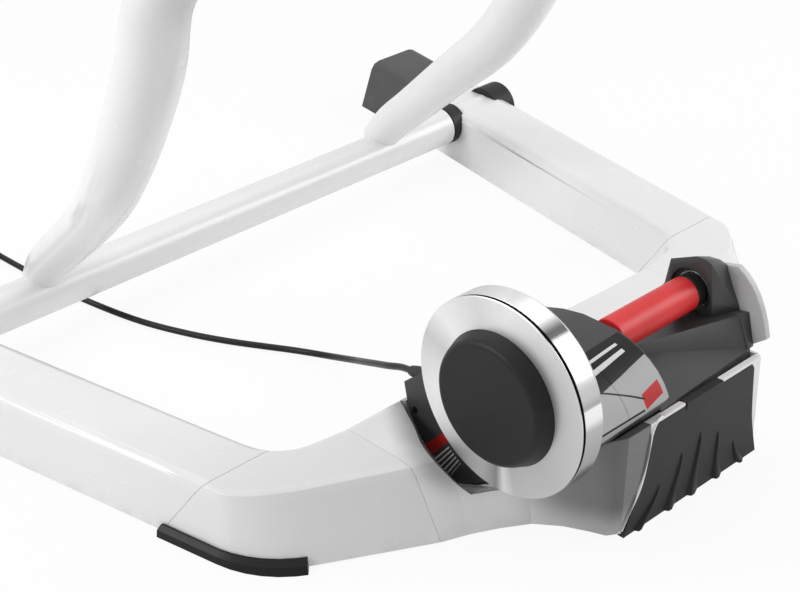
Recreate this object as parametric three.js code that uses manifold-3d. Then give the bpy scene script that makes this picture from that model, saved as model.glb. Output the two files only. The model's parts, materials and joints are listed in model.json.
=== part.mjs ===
// Wheel-on turbo trainer: a bike's rear wheel stays on, hangs in the fork and drives a red roller.
// Millimetres, +X to the rider's right, +Y the riding direction, +Z up, floor at z = 0
import * as THREE from 'three';
import { mergeVertices } from 'three/addons/utils/BufferGeometryUtils.js';
import Module from 'manifold-3d';

const wasm = await Module();
wasm.setup();

const DEGREE = Math.PI / 180;
const TURN = 2 * Math.PI;

// Fits shared by all pieces
const gap = 0.3;
const runningGap = 0.6;
const overrun = 12;

// The bike that the trainer is built for
const bikeWheelRadius = 340;
const contactAngle = 39.6 * DEGREE;

// Roller line, parallel to X
const roller = {
  y: -48, z: 131, radius: 15, left: -29, right: 67, bore: 6.3,
  shaftRadius: 6, shaftRight: 87.4, collarRadius: 10.5, collarRight: 73.4,
};

// Base: two toed-out legs, round corners and a rear beam, in plan
const base = {
  toe: 10.7 * DEGREE, legSpread: 264.9, topHalf: 33, floorHalf: 38.5,
  height: 57, bottom: 2, wall: 3.4, edgeRound: 9, legFront: 536,
  cornerX: 237, cornerY: 100, cornerFloorRadius: 84, cornerTopRadius: 60,
  cornerEnd: 62 * DEGREE, innerCentreX: 212, innerCentreY: 133, innerRadius: 44,
  seamX: 187, beamFloorY: -22, beamTopY: 10, beamFrontY: 86,
  seamY: 142, seamLean: 0.68, ribThickness: 3, legRibs: 5,
};

// Front caps, which are also the front feet
const frontCap = { length: 86, noseReach: 14, plugDepth: 26, plugInset: 5.4 };

// Rubber strip round each rear corner
const cornerFoot = { height: 9.5, reach: 7, lip: 9, shoulder: 3, clearance: 0.75, from: -0.95, to: 0.96 };

// Saddle moulding between the corners, with a hood round the resistance unit
const saddle = { hoodLeft: 88, hoodRight: 98, hoodRear: -112, hoodTop: 90, wheelRoom: 4.5, wingRibs: 3 };

// Resistance unit housings, measured along X
const drum = {
  left: -126, split: -80, right: -32, wall: 3.2, bottom: 7, front: 80, rear: -113, top: 143, room: 2.4,
};
const casing = { right: 92, shoulder: 97, bottom: 25, rear: -105.4, front: 8 };
const arm = { left: 74, right: 97, recessRadius: 22, recessDepth: 4 };
const sideCover = { thickness: 6 };
const bearing = { radius: 16, width: 10, bore: 6.3 };

// Flywheel, its cap and its brake ring
const flywheel = {
  face: -155, back: -132, radius: 81, faceInner: 57, recessDepth: 8, bore: 6.3,
  grooveFrom: -151.4, grooveTo: -149.2, grooveDepth: 1.6, edge: 1.2,
};
const cap = { baseRadius: 56, frontRadius: 52, front: -168.5, shoulder: 4 };
const brakeRing = { thickness: 3, inner: 48, outer: 78 };
const magnet = {
  inner: 50, outer: 75, thickness: 9, from: 215 * DEGREE, to: 292 * DEGREE, travel: 24 * DEGREE, slack: 2 * DEGREE,
  poleCount: 4, poleDepth: 2.4, poleShare: 0.68,
};

// Fork: cross tube that pivots in the legs, two arms, two axle clamps
const pivot = { y: 454.5, z: 41.4 };
const crossTube = { radius: 20.2, wall: 2.5, legRoom: 10.3, stubRadius: 13.5, stubLength: 82 };
const bush = { collarRadius: 20.6, sleeveRadius: 16, boreRadius: 14, setBack: 5 };
const pivotCap = { radius: 24, cover: 12, rim: 3 };
const clamp = {
  inner: 94, outer: 158, radius: 21, bore: 9.4, rodRadius: 9,
  cupRadius: 17, cupDepth: 12, cupRecess: 5, cupBore: 9.5, extended: 8,
};
const lever = { hubRadius: 15, hubHeight: 30, slot: 12.6, length: 96, width: 26, thickness: 9, pinRadius: 4 };
const knob = { radius: 25, thickness: 30, lobes: 6, lobeDepth: 3, neck: 6 };

const fork = { spread: 234, girth: 27.5, steps: 24, sides: 12, innerSteps: 11, innerSides: 6, innerEnd: 0.95 };
const panel = { seat: 2.6, proud: 0.7, flare: 3, ribWidth: 13, ribReach: 3.5 };

// Remote shifter, its control cable and the coil that is left of it
const gland = { x: -117, y: 70, z: 83, radius: 5.6, mouthRadius: 4.4, depth: 9, length: 14 };
const cable = { radius: 3, sides: 6, steps: 76, tailSteps: 10 };
const coil = { x: -206, y: 646, outerRadius: 37, pitch: 6.7, turns: 4.5, lead: 0.006, steps: 20, climb: 0.4 };
const shifter = {
  x: -272, y: 566, width: 30, length: 46, height: 20, cornerRadius: 7, dialRadius: 12, dialHeight: 4,
  bandRadius: 14.6, bandBore: 11.2, bandWidth: 15, bandGap: 3,
  leverThickness: 4, leverLength: 27, leverWidth: 11, ferruleRadius: 4.6, ferruleLength: 8,
};

const legInnerFace = base.legSpread + Math.tan(base.toe) * pivot.y - base.floorHalf;
const tubeReach = legInnerFace - crossTube.legRoom;
const stubReach = tubeReach + crossTube.stubLength;
const sleeveReach = stubReach - bush.setBack;
const pivotCapReach = stubReach + pivotCap.cover;
const sideCoverRight = arm.right + gap + sideCover.thickness;
const axleReach = bikeWheelRadius + roller.radius;
const axleY = roller.y + axleReach * Math.sin(contactAngle);
const axleZ = roller.z + axleReach * Math.cos(contactAngle);

const whitePlastic = { color: 0xf1f1f0, roughness: 0.22, metalness: 0 };
const whitePaint = { color: 0xf4f4f3, roughness: 0.16, metalness: 0 };
const blackPlastic = { color: 0x2b2b2c, roughness: 0.55, metalness: 0 };
const greyPlastic = { color: 0x3d3d3e, roughness: 0.5, metalness: 0 };
const rubber = { color: 0x1a1a1b, roughness: 0.75, metalness: 0 };
const redSleeve = { color: 0xd42a2f, roughness: 0.42, metalness: 0 };
const polishedSteel = { color: 0xd6d7d8, roughness: 0.18, metalness: 1 };
const steel = { color: 0xa9abad, roughness: 0.35, metalness: 1 };
const aluminium = { color: 0xc4c6c8, roughness: 0.4, metalness: 1 };

// Groups: the fork hangs on its pivot, everything that turns lies on the roller line
const trainer = new THREE.Group();
const rollerLine = new THREE.Group();
rollerLine.position.set(0, roller.y, roller.z);
const axleLine = new THREE.Group();
axleLine.position.set(0, axleY, axleZ);
const pivotLine = new THREE.Group();
pivotLine.position.set(0, pivot.y, pivot.z);
trainer.add(rollerLine, axleLine, pivotLine);

function addPiece(name, geometry, finish, parent = trainer) {
  const mesh = new THREE.Mesh(geometry, new THREE.MeshStandardMaterial(finish));
  mesh.name = name;
  parent.add(mesh);
  return mesh;
}

// Positions only, shared vertices merged, thin triangles dropped, faces pointing out
function welded(geometry) {
  const bare = geometry.clone();
  bare.deleteAttribute('normal');
  bare.deleteAttribute('uv');
  const merged = mergeVertices(bare);
  const position = merged.attributes.position;
  const source = merged.index.array;
  const kept = [];
  let volume = 0;
  const [a, b, c] = [new THREE.Vector3(), new THREE.Vector3(), new THREE.Vector3()];
  for (let i = 0; i < source.length; i += 3) {
    const [p, q, r] = [source[i], source[i + 1], source[i + 2]];
    if (p === q || q === r || r === p) continue;
    kept.push(p, q, r);
    a.fromBufferAttribute(position, p);
    b.fromBufferAttribute(position, q);
    c.fromBufferAttribute(position, r);
    volume += a.dot(b.cross(c));
  }
  if (volume < 0) kept.reverse();
  merged.setIndex(kept);
  return merged;
}

function solidOf(geometry) {
  const closed = welded(geometry);
  return new wasm.Manifold(new wasm.Mesh({
    numProp: 3,
    vertProperties: new Float32Array(closed.attributes.position.array),
    triVerts: new Uint32Array(closed.index.array),
  }));
}

function geometryOf(solid) {
  const mesh = solid.getMesh();
  const geometry = new THREE.BufferGeometry();
  geometry.setAttribute('position', new THREE.BufferAttribute(mesh.vertProperties, 3));
  geometry.setIndex(new THREE.BufferAttribute(mesh.triVerts, 1));
  geometry.computeVertexNormals();
  return geometry;
}

function mirrorImage(solid) {
  const geometry = geometryOf(solid);
  geometry.scale(-1, 1, 1);
  return welded(geometry);
}

// Skin through rings of equal length, closed at both ends with fans
function loft(rings) {
  const count = rings[0].length;
  const points = rings.flat();
  const index = [];
  for (let r = 0; r < rings.length - 1; r += 1) {
    for (let i = 0; i < count; i += 1) {
      const next = (i + 1) % count;
      const [p, q] = [r * count + i, r * count + next];
      index.push(p, q, p + count, q, q + count, p + count);
    }
  }
  const last = (rings.length - 1) * count;
  for (let i = 1; i < count - 1; i += 1) {
    index.push(0, i + 1, i, last, last + i, last + i + 1);
  }
  const geometry = new THREE.BufferGeometry().setFromPoints(points);
  geometry.setIndex(index);
  return welded(geometry);
}

// Body of revolution about X from [x, radius] pairs
function turned(profile, segments) {
  const geometry = new THREE.LatheGeometry(profile.map(([x, r]) => new THREE.Vector2(r, x)), segments);
  geometry.rotateZ(-Math.PI / 2);
  return welded(geometry);
}

// Prism along X from a shape drawn in y and z
function extrudedAlongX(shape, left, right, curveSegments = 8) {
  const geometry = new THREE.ExtrudeGeometry(shape, { depth: right - left, bevelEnabled: false, curveSegments });
  geometry.rotateX(Math.PI / 2);
  geometry.rotateZ(Math.PI / 2);
  geometry.translate(left, 0, 0);
  return welded(geometry);
}

function block(x0, x1, y0, y1, z0, z1) {
  const geometry = new THREE.BoxGeometry(x1 - x0, y1 - y0, z1 - z0);
  geometry.translate((x0 + x1) / 2, (y0 + y1) / 2, (z0 + z1) / 2);
  return geometry;
}

function cylinderAlongX(x0, x1, radius, y, z, segments) {
  const geometry = new THREE.CylinderGeometry(radius, radius, x1 - x0, segments);
  geometry.rotateZ(Math.PI / 2);
  geometry.translate((x0 + x1) / 2, y, z);
  return geometry;
}

const vec = (x, y, z) => new THREE.Vector3(x, y, z);
const plan = (x, y) => new THREE.Vector2(x, y);

// Round tube along a curve; radiusAt gives its radius at each share of the way
function tubeAlong(curve, steps, sides, radiusAt, start = vec(0, -1, 0), end = 1) {
  const rings = [];
  const reference = start.clone();
  for (let i = 0; i <= steps; i += 1) {
    const share = end * i / steps;
    const centre = curve.getPoint(share);
    const tangent = curve.getTangent(share);
    const side = reference.clone().cross(tangent).normalize();
    const up = tangent.clone().cross(side).normalize();
    reference.copy(up);
    const ring = [];
    for (let k = 0; k < sides; k += 1) {
      const angle = k / sides * TURN;
      ring.push(centre.clone().addScaledVector(side, radiusAt(share) * Math.cos(angle))
        .addScaledVector(up, radiusAt(share) * Math.sin(angle)));
    }
    rings.push(ring);
  }
  return loft(rings);
}

// Half of the base in plan: one station per step from the leg's front to the seam by the saddle
function legStation(y) {
  const slope = Math.tan(base.toe);
  const centre = base.legSpread + slope * y;
  return {
    floorOuter: plan(centre + base.floorHalf, y), topOuter: plan(centre + base.topHalf, y),
    topInner: plan(centre - base.topHalf, y), floorInner: plan(centre - base.floorHalf, y),
  };
}

function cornerStation(share) {
  const outerAngle = -(base.toe + share * (base.cornerEnd - base.toe));
  const innerAngle = -(base.toe + share * (Math.PI / 2 - base.toe));
  const out = plan(Math.cos(outerAngle), Math.sin(outerAngle));
  const into = plan(Math.cos(innerAngle), Math.sin(innerAngle));
  const startRadius = base.cornerFloorRadius - (base.floorHalf - base.topHalf);
  const ease = Math.sin(share * Math.PI / 2);
  const topRadius = startRadius + (base.cornerTopRadius - startRadius) * ease;
  const centre = plan(base.cornerX, base.cornerY);
  const inner = plan(base.innerCentreX, base.innerCentreY);
  const innerFloorRadius = base.innerRadius - (base.floorHalf - base.topHalf);
  return {
    floorOuter: out.clone().multiplyScalar(base.cornerFloorRadius).add(centre),
    topOuter: out.clone().multiplyScalar(topRadius).add(centre),
    topInner: into.clone().multiplyScalar(base.innerRadius).add(inner),
    floorInner: into.clone().multiplyScalar(innerFloorRadius).add(inner),
  };
}

function seamStation() {
  const draft = base.floorHalf - base.topHalf;
  return {
    floorOuter: plan(base.seamX, base.beamFloorY), topOuter: plan(base.seamX, base.beamTopY),
    topInner: plan(base.seamX, base.beamFrontY), floorInner: plan(base.seamX, base.beamFrontY + draft),
  };
}

// Round-shouldered section of a station; inset moves every wall inwards
function sectionRing(station, bottom, top, inset = 0, round = base.edgeRound) {
  const across = station.topInner.clone().sub(station.topOuter).normalize();
  const move = (point, side) => point.clone().addScaledVector(across, side * inset);
  const at = (point, z) => vec(point.x, point.y, z);
  const floorOuter = at(move(station.floorOuter, 1), bottom);
  const floorInner = at(move(station.floorInner, -1), bottom);
  const outer = at(move(station.topOuter, 1), top);
  const inner = at(move(station.topInner, -1), top);
  const width = outer.distanceTo(inner);
  const soft = Math.max(round - inset, gap);
  const corner = (edge, foot, mate) => {
    const low = edge.clone().lerp(foot, soft / edge.distanceTo(foot));
    const high = edge.clone().lerp(mate, soft / width);
    const middle = low.clone().add(high).add(edge).add(edge).multiplyScalar(0.25);
    return [low, middle, high];
  };
  return [floorOuter, ...corner(outer, floorOuter, inner), ...corner(inner, floorInner, outer).reverse(), floorInner];
}

const cornerShares = [0, 0.17, 0.34, 0.5, 0.67, 0.84, 1];

function halfBaseLoft(inset, bottom, top, front) {
  const cornerLead = base.cornerY + base.innerRadius;
  const stations = [legStation(front), legStation(cornerLead)];
  stations.push(...cornerShares.map(cornerStation), seamStation());
  return loft(stations.map((station) => sectionRing(station, bottom, top, inset)));
}

// Half-space on one side of the slanted seam between leg and corner
function seamTool(side, clearance) {
  const lean = Math.atan(base.seamLean);
  const size = base.legFront + base.legSpread;
  const tool = new THREE.BoxGeometry(size * 2, size * 2, size * 2);
  tool.translate(0, side * (size + clearance), 0);
  tool.rotateX(lean);
  tool.translate(0, base.seamY, 0);
  return solidOf(tool);
}

function buildHalfBase() {
  const outside = solidOf(halfBaseLoft(0, base.bottom, base.height, base.legFront));
  const hollow = solidOf(halfBaseLoft(base.wall, base.bottom - overrun, base.height - base.wall, base.legFront));
  const shortFront = base.legFront - frontCap.plugDepth - overrun;
  const shortHollow = solidOf(block(0, 2 * base.legSpread, base.beamFloorY - overrun, base.legFront + overrun,
    -overrun, base.height));
  let shell = outside.subtract(hollow.intersect(shortHollow));
  const rib = (y) => solidOf(block(0, 2 * base.legSpread, y - base.ribThickness / 2, y + base.ribThickness / 2,
    base.height / 4, base.height));
  const ribPitch = (shortFront - base.seamY) / base.legRibs;
  for (let i = 1; i <= base.legRibs; i += 1) {
    shell = shell.add(rib(base.seamY + i * ribPitch - ribPitch / 2).intersect(outside));
  }
  const cornerRib = (x) => solidOf(block(x - base.ribThickness / 2, x + base.ribThickness / 2,
    -base.legSpread, base.seamY, base.height / 4, base.height));
  const cornerRibPitch = (base.cornerX - base.seamX) / 2;
  for (let i = 0; i < 3; i += 1) {
    shell = shell.add(cornerRib(base.seamX + base.wall + i * cornerRibPitch).intersect(outside));
  }
  const boss = solidOf(cylinderAlongX(base.legSpread, stubReach + overrun,
    bush.sleeveRadius + base.wall, pivot.y, pivot.z, 24)).intersect(outside);
  const bore = solidOf(cylinderAlongX(base.legSpread, stubReach + overrun,
    bush.sleeveRadius + gap, pivot.y, pivot.z, 24));
  shell = shell.add(boss).subtract(bore);
  const leg = shell.intersect(seamTool(1, gap / 2));
  const corner = shell.intersect(seamTool(-1, gap / 2));
  return { leg, corner };
}

const halfBase = buildHalfBase();
addPiece('right_leg', geometryOf(halfBase.leg), whitePlastic);
addPiece('left_leg', mirrorImage(halfBase.leg), whitePlastic);
addPiece('right_corner_shell', geometryOf(halfBase.corner), whitePlastic);
addPiece('left_corner_shell', mirrorImage(halfBase.corner), whitePlastic);

// Front cap: closes the leg's front end and stands on the floor
function buildFrontCap() {
  const start = base.legFront + gap;
  const rings = [start, start + frontCap.length - frontCap.noseReach].map((y) => (
    sectionRing(legStation(y), 0, base.height)));
  const nose = sectionRing(legStation(start + frontCap.length - frontCap.noseReach), 0, base.height);
  for (const point of nose) point.y += frontCap.noseReach * (1 - point.z / base.height);
  rings[1] = nose;
  const shell = solidOf(loft(rings));
  const plugTop = base.height - base.wall - gap * 2;
  const plug = solidOf(loft([base.legFront - frontCap.plugDepth, start + gap].map((y) => (
    sectionRing(legStation(y), base.bottom + base.wall, plugTop, frontCap.plugInset)))));
  const cavityEnds = [base.legFront - frontCap.plugDepth - overrun, start + frontCap.length - frontCap.noseReach * 2];
  const cavity = solidOf(loft(cavityEnds.map((y) => (
    sectionRing(legStation(y), base.bottom + base.wall * 2, plugTop - base.wall, frontCap.plugInset + base.wall)))));
  return shell.add(plug).subtract(cavity);
}

const frontCapSolid = buildFrontCap();
addPiece('right_front_cap', geometryOf(frontCapSolid), blackPlastic);
addPiece('left_front_cap', mirrorImage(frontCapSolid), blackPlastic);

// Corner foot: a strip on the outer wall with a lip under it
function buildCornerFoot() {
  const start = legStation(base.seamY);
  const stationAt = (share) => {
    if (share >= 0) return cornerStation(share);
    const first = cornerStation(0);
    const mix = -share;
    const blend = (a, b) => a.clone().lerp(b, mix);
    return { floorOuter: blend(first.floorOuter, start.floorOuter), topOuter: blend(first.topOuter, start.topOuter),
      topInner: blend(first.topInner, start.topInner), floorInner: first.floorInner };
  };
  const stripRing = (share) => {
    const station = stationAt(share);
    const out = station.floorOuter.clone().sub(station.topInner).normalize();
    const wallAt = (z, offset) => {
      const lift = (z - base.bottom) / (base.height - base.bottom);
      const spot = station.floorOuter.clone().lerp(station.topOuter, lift).addScaledVector(out, offset);
      return vec(spot.x, spot.y, z);
    };
    return [wallAt(0, cornerFoot.clearance), wallAt(cornerFoot.height, cornerFoot.clearance),
      wallAt(cornerFoot.height, cornerFoot.shoulder),
      wallAt(cornerFoot.height - cornerFoot.shoulder, cornerFoot.reach), wallAt(0, cornerFoot.reach)];
  };
  const lipRing = (share) => {
    const station = stationAt(share);
    const out = station.floorOuter.clone().sub(station.topInner).normalize();
    const spot = (offset, z) => {
      const p = station.floorOuter.clone().addScaledVector(out, offset);
      return vec(p.x, p.y, z);
    };
    const lipTop = base.bottom - gap;
    const edge = cornerFoot.clearance + gap;
    return [spot(-cornerFoot.lip, 0), spot(-cornerFoot.lip, lipTop), spot(edge, lipTop), spot(edge, 0)];
  };
  const shares = [cornerFoot.from, 0, ...cornerShares.slice(1, -1), cornerFoot.to];
  return solidOf(loft(shares.map(stripRing))).add(solidOf(loft(shares.map(lipRing))));
}

const cornerFootSolid = buildCornerFoot();
addPiece('right_corner_foot', geometryOf(cornerFootSolid), rubber);
addPiece('left_corner_foot', mirrorImage(cornerFootSolid), rubber);

// Bushes in the legs' bores and the round covers on their outer faces
const legBody = solidOf(halfBaseLoft(-gap, base.bottom, base.height + gap, base.legFront));

function buildBush() {
  const sleeve = solidOf(turned([
    [tubeReach + runningGap, bush.boreRadius], [tubeReach + runningGap, bush.collarRadius],
    [legInnerFace + base.wall * 2, bush.collarRadius], [legInnerFace + base.wall * 2, bush.boreRadius],
    [tubeReach + runningGap, bush.boreRadius]], 24).translate(0, pivot.y, pivot.z));
  const collar = sleeve.subtract(legBody);
  const tube = solidOf(turned([
    [tubeReach + runningGap, bush.boreRadius], [tubeReach + runningGap, bush.sleeveRadius],
    [sleeveReach, bush.sleeveRadius], [sleeveReach, bush.boreRadius],
    [tubeReach + runningGap, bush.boreRadius]], 24).translate(0, pivot.y, pivot.z));
  return collar.add(tube);
}

function buildPivotCap() {
  const start = sleeveReach - overrun;
  const disc = solidOf(turned([[start, 0], [start, pivotCap.radius], [pivotCapReach - pivotCap.rim, pivotCap.radius],
    [pivotCapReach, pivotCap.radius - pivotCap.rim], [pivotCapReach, 0]], 32).translate(0, pivot.y, pivot.z));
  const room = solidOf(cylinderAlongX(start - overrun, stubReach + runningGap,
    bush.sleeveRadius + gap, pivot.y, pivot.z, 24));
  return disc.subtract(legBody).subtract(room);
}

const bushSolid = buildBush();
addPiece('right_pivot_bush', geometryOf(bushSolid), blackPlastic);
addPiece('left_pivot_bush', mirrorImage(bushSolid), blackPlastic);
const pivotCapSolid = buildPivotCap();
addPiece('right_pivot_cap', geometryOf(pivotCapSolid), blackPlastic);
addPiece('left_pivot_cap', mirrorImage(pivotCapSolid), blackPlastic);

// Cable gland: its spot on the housing's front chamfer and the way the cable leaves it
const glandSpot = vec(gland.x, gland.y, gland.z);
const glandAxis = vec(0.22, 0.92, -0.32).normalize();

// Body of revolution about the gland's axis from [distance, radius] pairs
function turnedOnGland(profile, segments) {
  const geometry = turned(profile, segments);
  geometry.applyQuaternion(new THREE.Quaternion().setFromUnitVectors(vec(1, 0, 0), glandAxis));
  return geometry.translate(glandSpot.x, glandSpot.y, glandSpot.z);
}

function glandBore() {
  return solidOf(turnedOnGland([[-gland.depth, 0], [-gland.depth, gland.radius + gap],
    [gland.length, gland.radius + gap], [gland.length, 0]], 20));
}

// Drum housing profile in y and z; inset draws the whole outline in
function drumShape(inset) {
  const shape = new THREE.Shape();
  const bottom = drum.bottom + inset;
  const top = drum.top - inset;
  const rear = drum.rear + inset;
  const front = drum.front - inset;
  const height = top - bottom;
  const length = front - rear;
  shape.moveTo(rear + length * 0.65, bottom);
  shape.lineTo(front - length * 0.3, bottom);
  shape.quadraticCurveTo(front - length * 0.035, bottom + height * 0.12, front, bottom + height * 0.5);
  shape.lineTo(front - length * 0.085, bottom + height * 0.6);
  shape.quadraticCurveTo(front - length * 0.2, top - height * 0.06, front - length * 0.54, top);
  shape.lineTo(rear + length * 0.29, top);
  shape.quadraticCurveTo(rear + length * 0.075, top - height * 0.04, rear, bottom + height * 0.74);
  shape.lineTo(rear + length * 0.052, bottom + height * 0.6);
  shape.lineTo(rear + length * 0.33, bottom + height * 0.26);
  shape.lineTo(rear + length * 0.54, bottom + height * 0.1);
  return shape;
}

const drumSolid = (left, right, inset) => solidOf(extrudedAlongX(drumShape(inset), left, right, 6));
const axleBore = (left, right, radius, segments = 28) => (
  solidOf(cylinderAlongX(left, right, radius, roller.y, roller.z, segments)));

// Annular sector about the roller line, in the plane across X
function sectorSolid(inner, outer, from, to, left, right) {
  const shape = new THREE.Shape();
  shape.absarc(roller.y, roller.z, outer, from, to, false);
  shape.absarc(roller.y, roller.z, inner, to, from, true);
  return solidOf(extrudedAlongX(shape, left, right, 6));
}

const magnetBack = drum.left + magnet.thickness;

function buildDrumHousing() {
  const skin = drumSolid(drum.left, drum.split - gap / 2, 0);
  const room = drumSolid(drum.left + magnet.thickness + drum.wall * 2, drum.split + overrun, drum.wall);
  const bearingBack = drum.left + bearing.width + gap * 2;
  const boss = axleBore(drum.left, bearingBack + drum.wall, bearing.radius + drum.wall);
  const seat = axleBore(drum.left - overrun, bearingBack, bearing.radius + gap);
  const mouth = axleBore(drum.left - overrun, drum.split, roller.shaftRadius + drum.wall);
  const track = sectorSolid(magnet.inner - runningGap, magnet.outer + runningGap, magnet.from - magnet.slack,
    magnet.to + magnet.travel + magnet.slack, drum.left - overrun, magnetBack + runningGap);
  return skin.subtract(room).add(boss).subtract(seat).subtract(mouth).subtract(track).subtract(glandBore());
}

function buildDrumCover() {
  const skin = drumSolid(drum.split + gap / 2, drum.right, 0);
  const room = drumSolid(drum.split - overrun, drum.right - drum.wall, drum.wall);
  const mouth = axleBore(drum.split, drum.right + overrun, roller.shaftRadius + drum.wall);
  return skin.subtract(room).subtract(mouth);
}

addPiece('drum_housing', geometryOf(buildDrumHousing()), greyPlastic);
addPiece('drum_cover', geometryOf(buildDrumCover()), greyPlastic);

// Magnet carriage: an arc that slides in the housing's track, with raised poles
function buildMagnetCarriage() {
  const back = drum.left + magnet.poleDepth;
  let carriage = sectorSolid(magnet.inner, magnet.outer, magnet.from, magnet.to, back, magnetBack);
  const pitch = (magnet.to - magnet.from) / magnet.poleCount;
  for (let i = 0; i < magnet.poleCount; i += 1) {
    const from = magnet.from + pitch * (i + (1 - magnet.poleShare) / 2);
    const edge = (magnet.outer - magnet.inner) * (1 - magnet.poleShare) / 4;
    carriage = carriage.add(sectorSolid(magnet.inner + edge, magnet.outer - edge, from,
      from + pitch * magnet.poleShare, drum.left, back + gap));
  }
  return carriage;
}

addPiece('magnet_carriage', geometryOf(buildMagnetCarriage()), steel);

// Lower casing: a loft along X whose rear-top edge runs from under the roller to the arm
function casingRing(x, bottom) {
  const share = (x - drum.right) / (casing.right - drum.right);
  const mix = (a, b) => a + (b - a) * share;
  const rise = roller.z - roller.radius;
  const step = roller.radius;
  return [
    vec(x, casing.rear, bottom), vec(x, casing.rear + mix(0, 0.43) * step, saddle.hoodTop + gap * 2),
    vec(x, roller.y + mix(0.4, -2.75) * step, rise + mix(-0.27, 0.2) * step),
    vec(x, roller.y + mix(1, 1.5) * step, rise - mix(0.67, 0.53) * step),
    vec(x, casing.front, saddle.hoodTop - 0.4 * step), vec(x, casing.front, bottom),
  ];
}

const casingTop = saddle.hoodTop + gap * 2;
const casingShoulder = solidOf(loft([casingRing(casing.right - base.wall, casing.bottom),
  casingRing(casing.shoulder, casing.bottom)]))
  .intersect(solidOf(block(0, casing.shoulder, casing.rear, casing.front, casingTop, roller.z)));
const casingSolid = solidOf(loft([casingRing(drum.right + gap, casing.bottom), casingRing(casing.right, casing.bottom)]))
  .add(casingShoulder);

function buildCasing() {
  const wall = drum.wall;
  const hollow = solidOf(block(drum.right + wall, casing.right - wall, casing.rear + wall, casing.front - wall,
    casing.bottom - overrun, saddle.hoodTop - base.edgeRound));
  const rib = (x) => solidOf(block(x - wall / 2, x + wall / 2, casing.rear, casing.front,
    casing.bottom + base.edgeRound, saddle.hoodTop - base.edgeRound)).intersect(casingSolid);
  const pitch = (casing.right - drum.right) / 3;
  return casingSolid.subtract(hollow).add(rib(drum.right + pitch)).add(rib(casing.right - pitch));
}

addPiece('lower_casing', geometryOf(buildCasing()), greyPlastic);

// Bearing arm on the casing's right end
const armInnerShares = [[-1.5, -0.13], [-1.22, 2.1], [-0.8, 2.23], [-0.2, 2.2], [1.43, 1.43], [1.7, -0.07], [1.93, -1]];
const armOuterShares = [[-2.25, -0.8], [-1.13, 1.49], [-0.67, 1.6], [0, 1.53], [1.4, 0.87], [1.7, -0.2], [1.93, -1]];

function armRing(x, shares, heelShare) {
  const spot = ([y, z]) => vec(x, roller.y + y * roller.radius, roller.z + z * roller.radius);
  const heel = vec(x, roller.y + heelShare * roller.radius, casing.bottom);
  const toe = spot(shares[shares.length - 1]).setZ(casing.bottom);
  return [heel, ...shares.map(spot), toe];
}

function buildBearingArm() {
  const body = solidOf(loft([armRing(arm.left, armInnerShares, -1.53), armRing(arm.right, armOuterShares, -2.7)]));
  const recess = axleBore(arm.left - overrun, arm.left + arm.recessDepth, arm.recessRadius - arm.recessDepth / 2, 32);
  const seat = axleBore(arm.left - overrun, arm.left + arm.recessDepth + bearing.width, bearing.radius + gap, 32);
  const casingRoom = solidOf(loft([casingRing(drum.right, -overrun), casingRing(casing.shoulder + overrun, -overrun)])
    .translate(0, 0, gap));
  return body.subtract(recess).subtract(seat).subtract(casingRoom).subtract(casingSolid);
}

addPiece('bearing_arm', geometryOf(buildBearingArm()), greyPlastic);

// Side cover outside the arm
function buildSideCover() {
  const shape = new THREE.Shape();
  const top = roller.z + roller.radius * 1.7;
  const bottom = saddle.hoodTop + gap * 2;
  shape.moveTo(casing.rear + base.edgeRound, bottom);
  shape.lineTo(casing.rear - base.edgeRound / 2, roller.z - 2 * roller.radius);
  shape.quadraticCurveTo(casing.rear + roller.radius * 0.3, roller.z + roller.radius * 0.8,
    roller.y - 1.85 * roller.radius, top - roller.radius * 0.1);
  shape.lineTo(roller.y - roller.radius, top - roller.radius * 0.3);
  shape.lineTo(roller.y + roller.radius * 0.4, top - roller.radius * 0.85);
  shape.quadraticCurveTo(casing.front - roller.radius * 1.6, top - roller.radius * 1.2, casing.front - gap, bottom);
  return solidOf(extrudedAlongX(shape, arm.right + gap, sideCoverRight, 6));
}

addPiece('side_cover', geometryOf(buildSideCover()), greyPlastic);

// Ball bearings, drawn as the closed ring that a stranger sees
function buildBearing(left) {
  const groove = bearing.width * 0.12;
  const land = bearing.radius * 0.8;
  const right = left + bearing.width;
  return turned([
    [left, bearing.bore], [left, bearing.radius * 0.56], [left + groove, bearing.radius * 0.6],
    [left + groove, land], [left, bearing.radius * 0.84], [left, bearing.radius],
    [right, bearing.radius], [right, bearing.bore], [left, bearing.bore]], 22);
}

addPiece('left_bearing', buildBearing(drum.left + gap), steel, rollerLine);
addPiece('right_bearing', buildBearing(arm.left + arm.recessDepth - gap), steel, rollerLine);

// What spins: shaft, sleeve, collar, flywheel, its cap and its brake ring
const shaftLeft = flywheel.face + flywheel.recessDepth + gap;
const shaftProfile = [[shaftLeft, 0], [shaftLeft, roller.shaftRadius], [roller.shaftRight - gap * 2, roller.shaftRadius],
  [roller.shaftRight, roller.shaftRadius - gap * 2], [roller.shaftRight, 0]];
addPiece('roller_shaft', turned(shaftProfile, 20), steel, rollerLine);

const sleeveEdge = roller.radius / 12;
addPiece('roller_sleeve', turned([
  [roller.left, roller.bore], [roller.left, roller.radius - sleeveEdge], [roller.left + sleeveEdge, roller.radius],
  [roller.right - sleeveEdge, roller.radius], [roller.right, roller.radius - sleeveEdge],
  [roller.right, roller.bore], [roller.left, roller.bore]], 32), redSleeve, rollerLine);
addPiece('roller_collar', turned([
  [roller.right + gap, roller.bore], [roller.right + gap, roller.collarRadius],
  [roller.collarRight, roller.collarRadius], [roller.collarRight, roller.bore],
  [roller.right + gap, roller.bore]], 28), blackPlastic, rollerLine);

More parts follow.
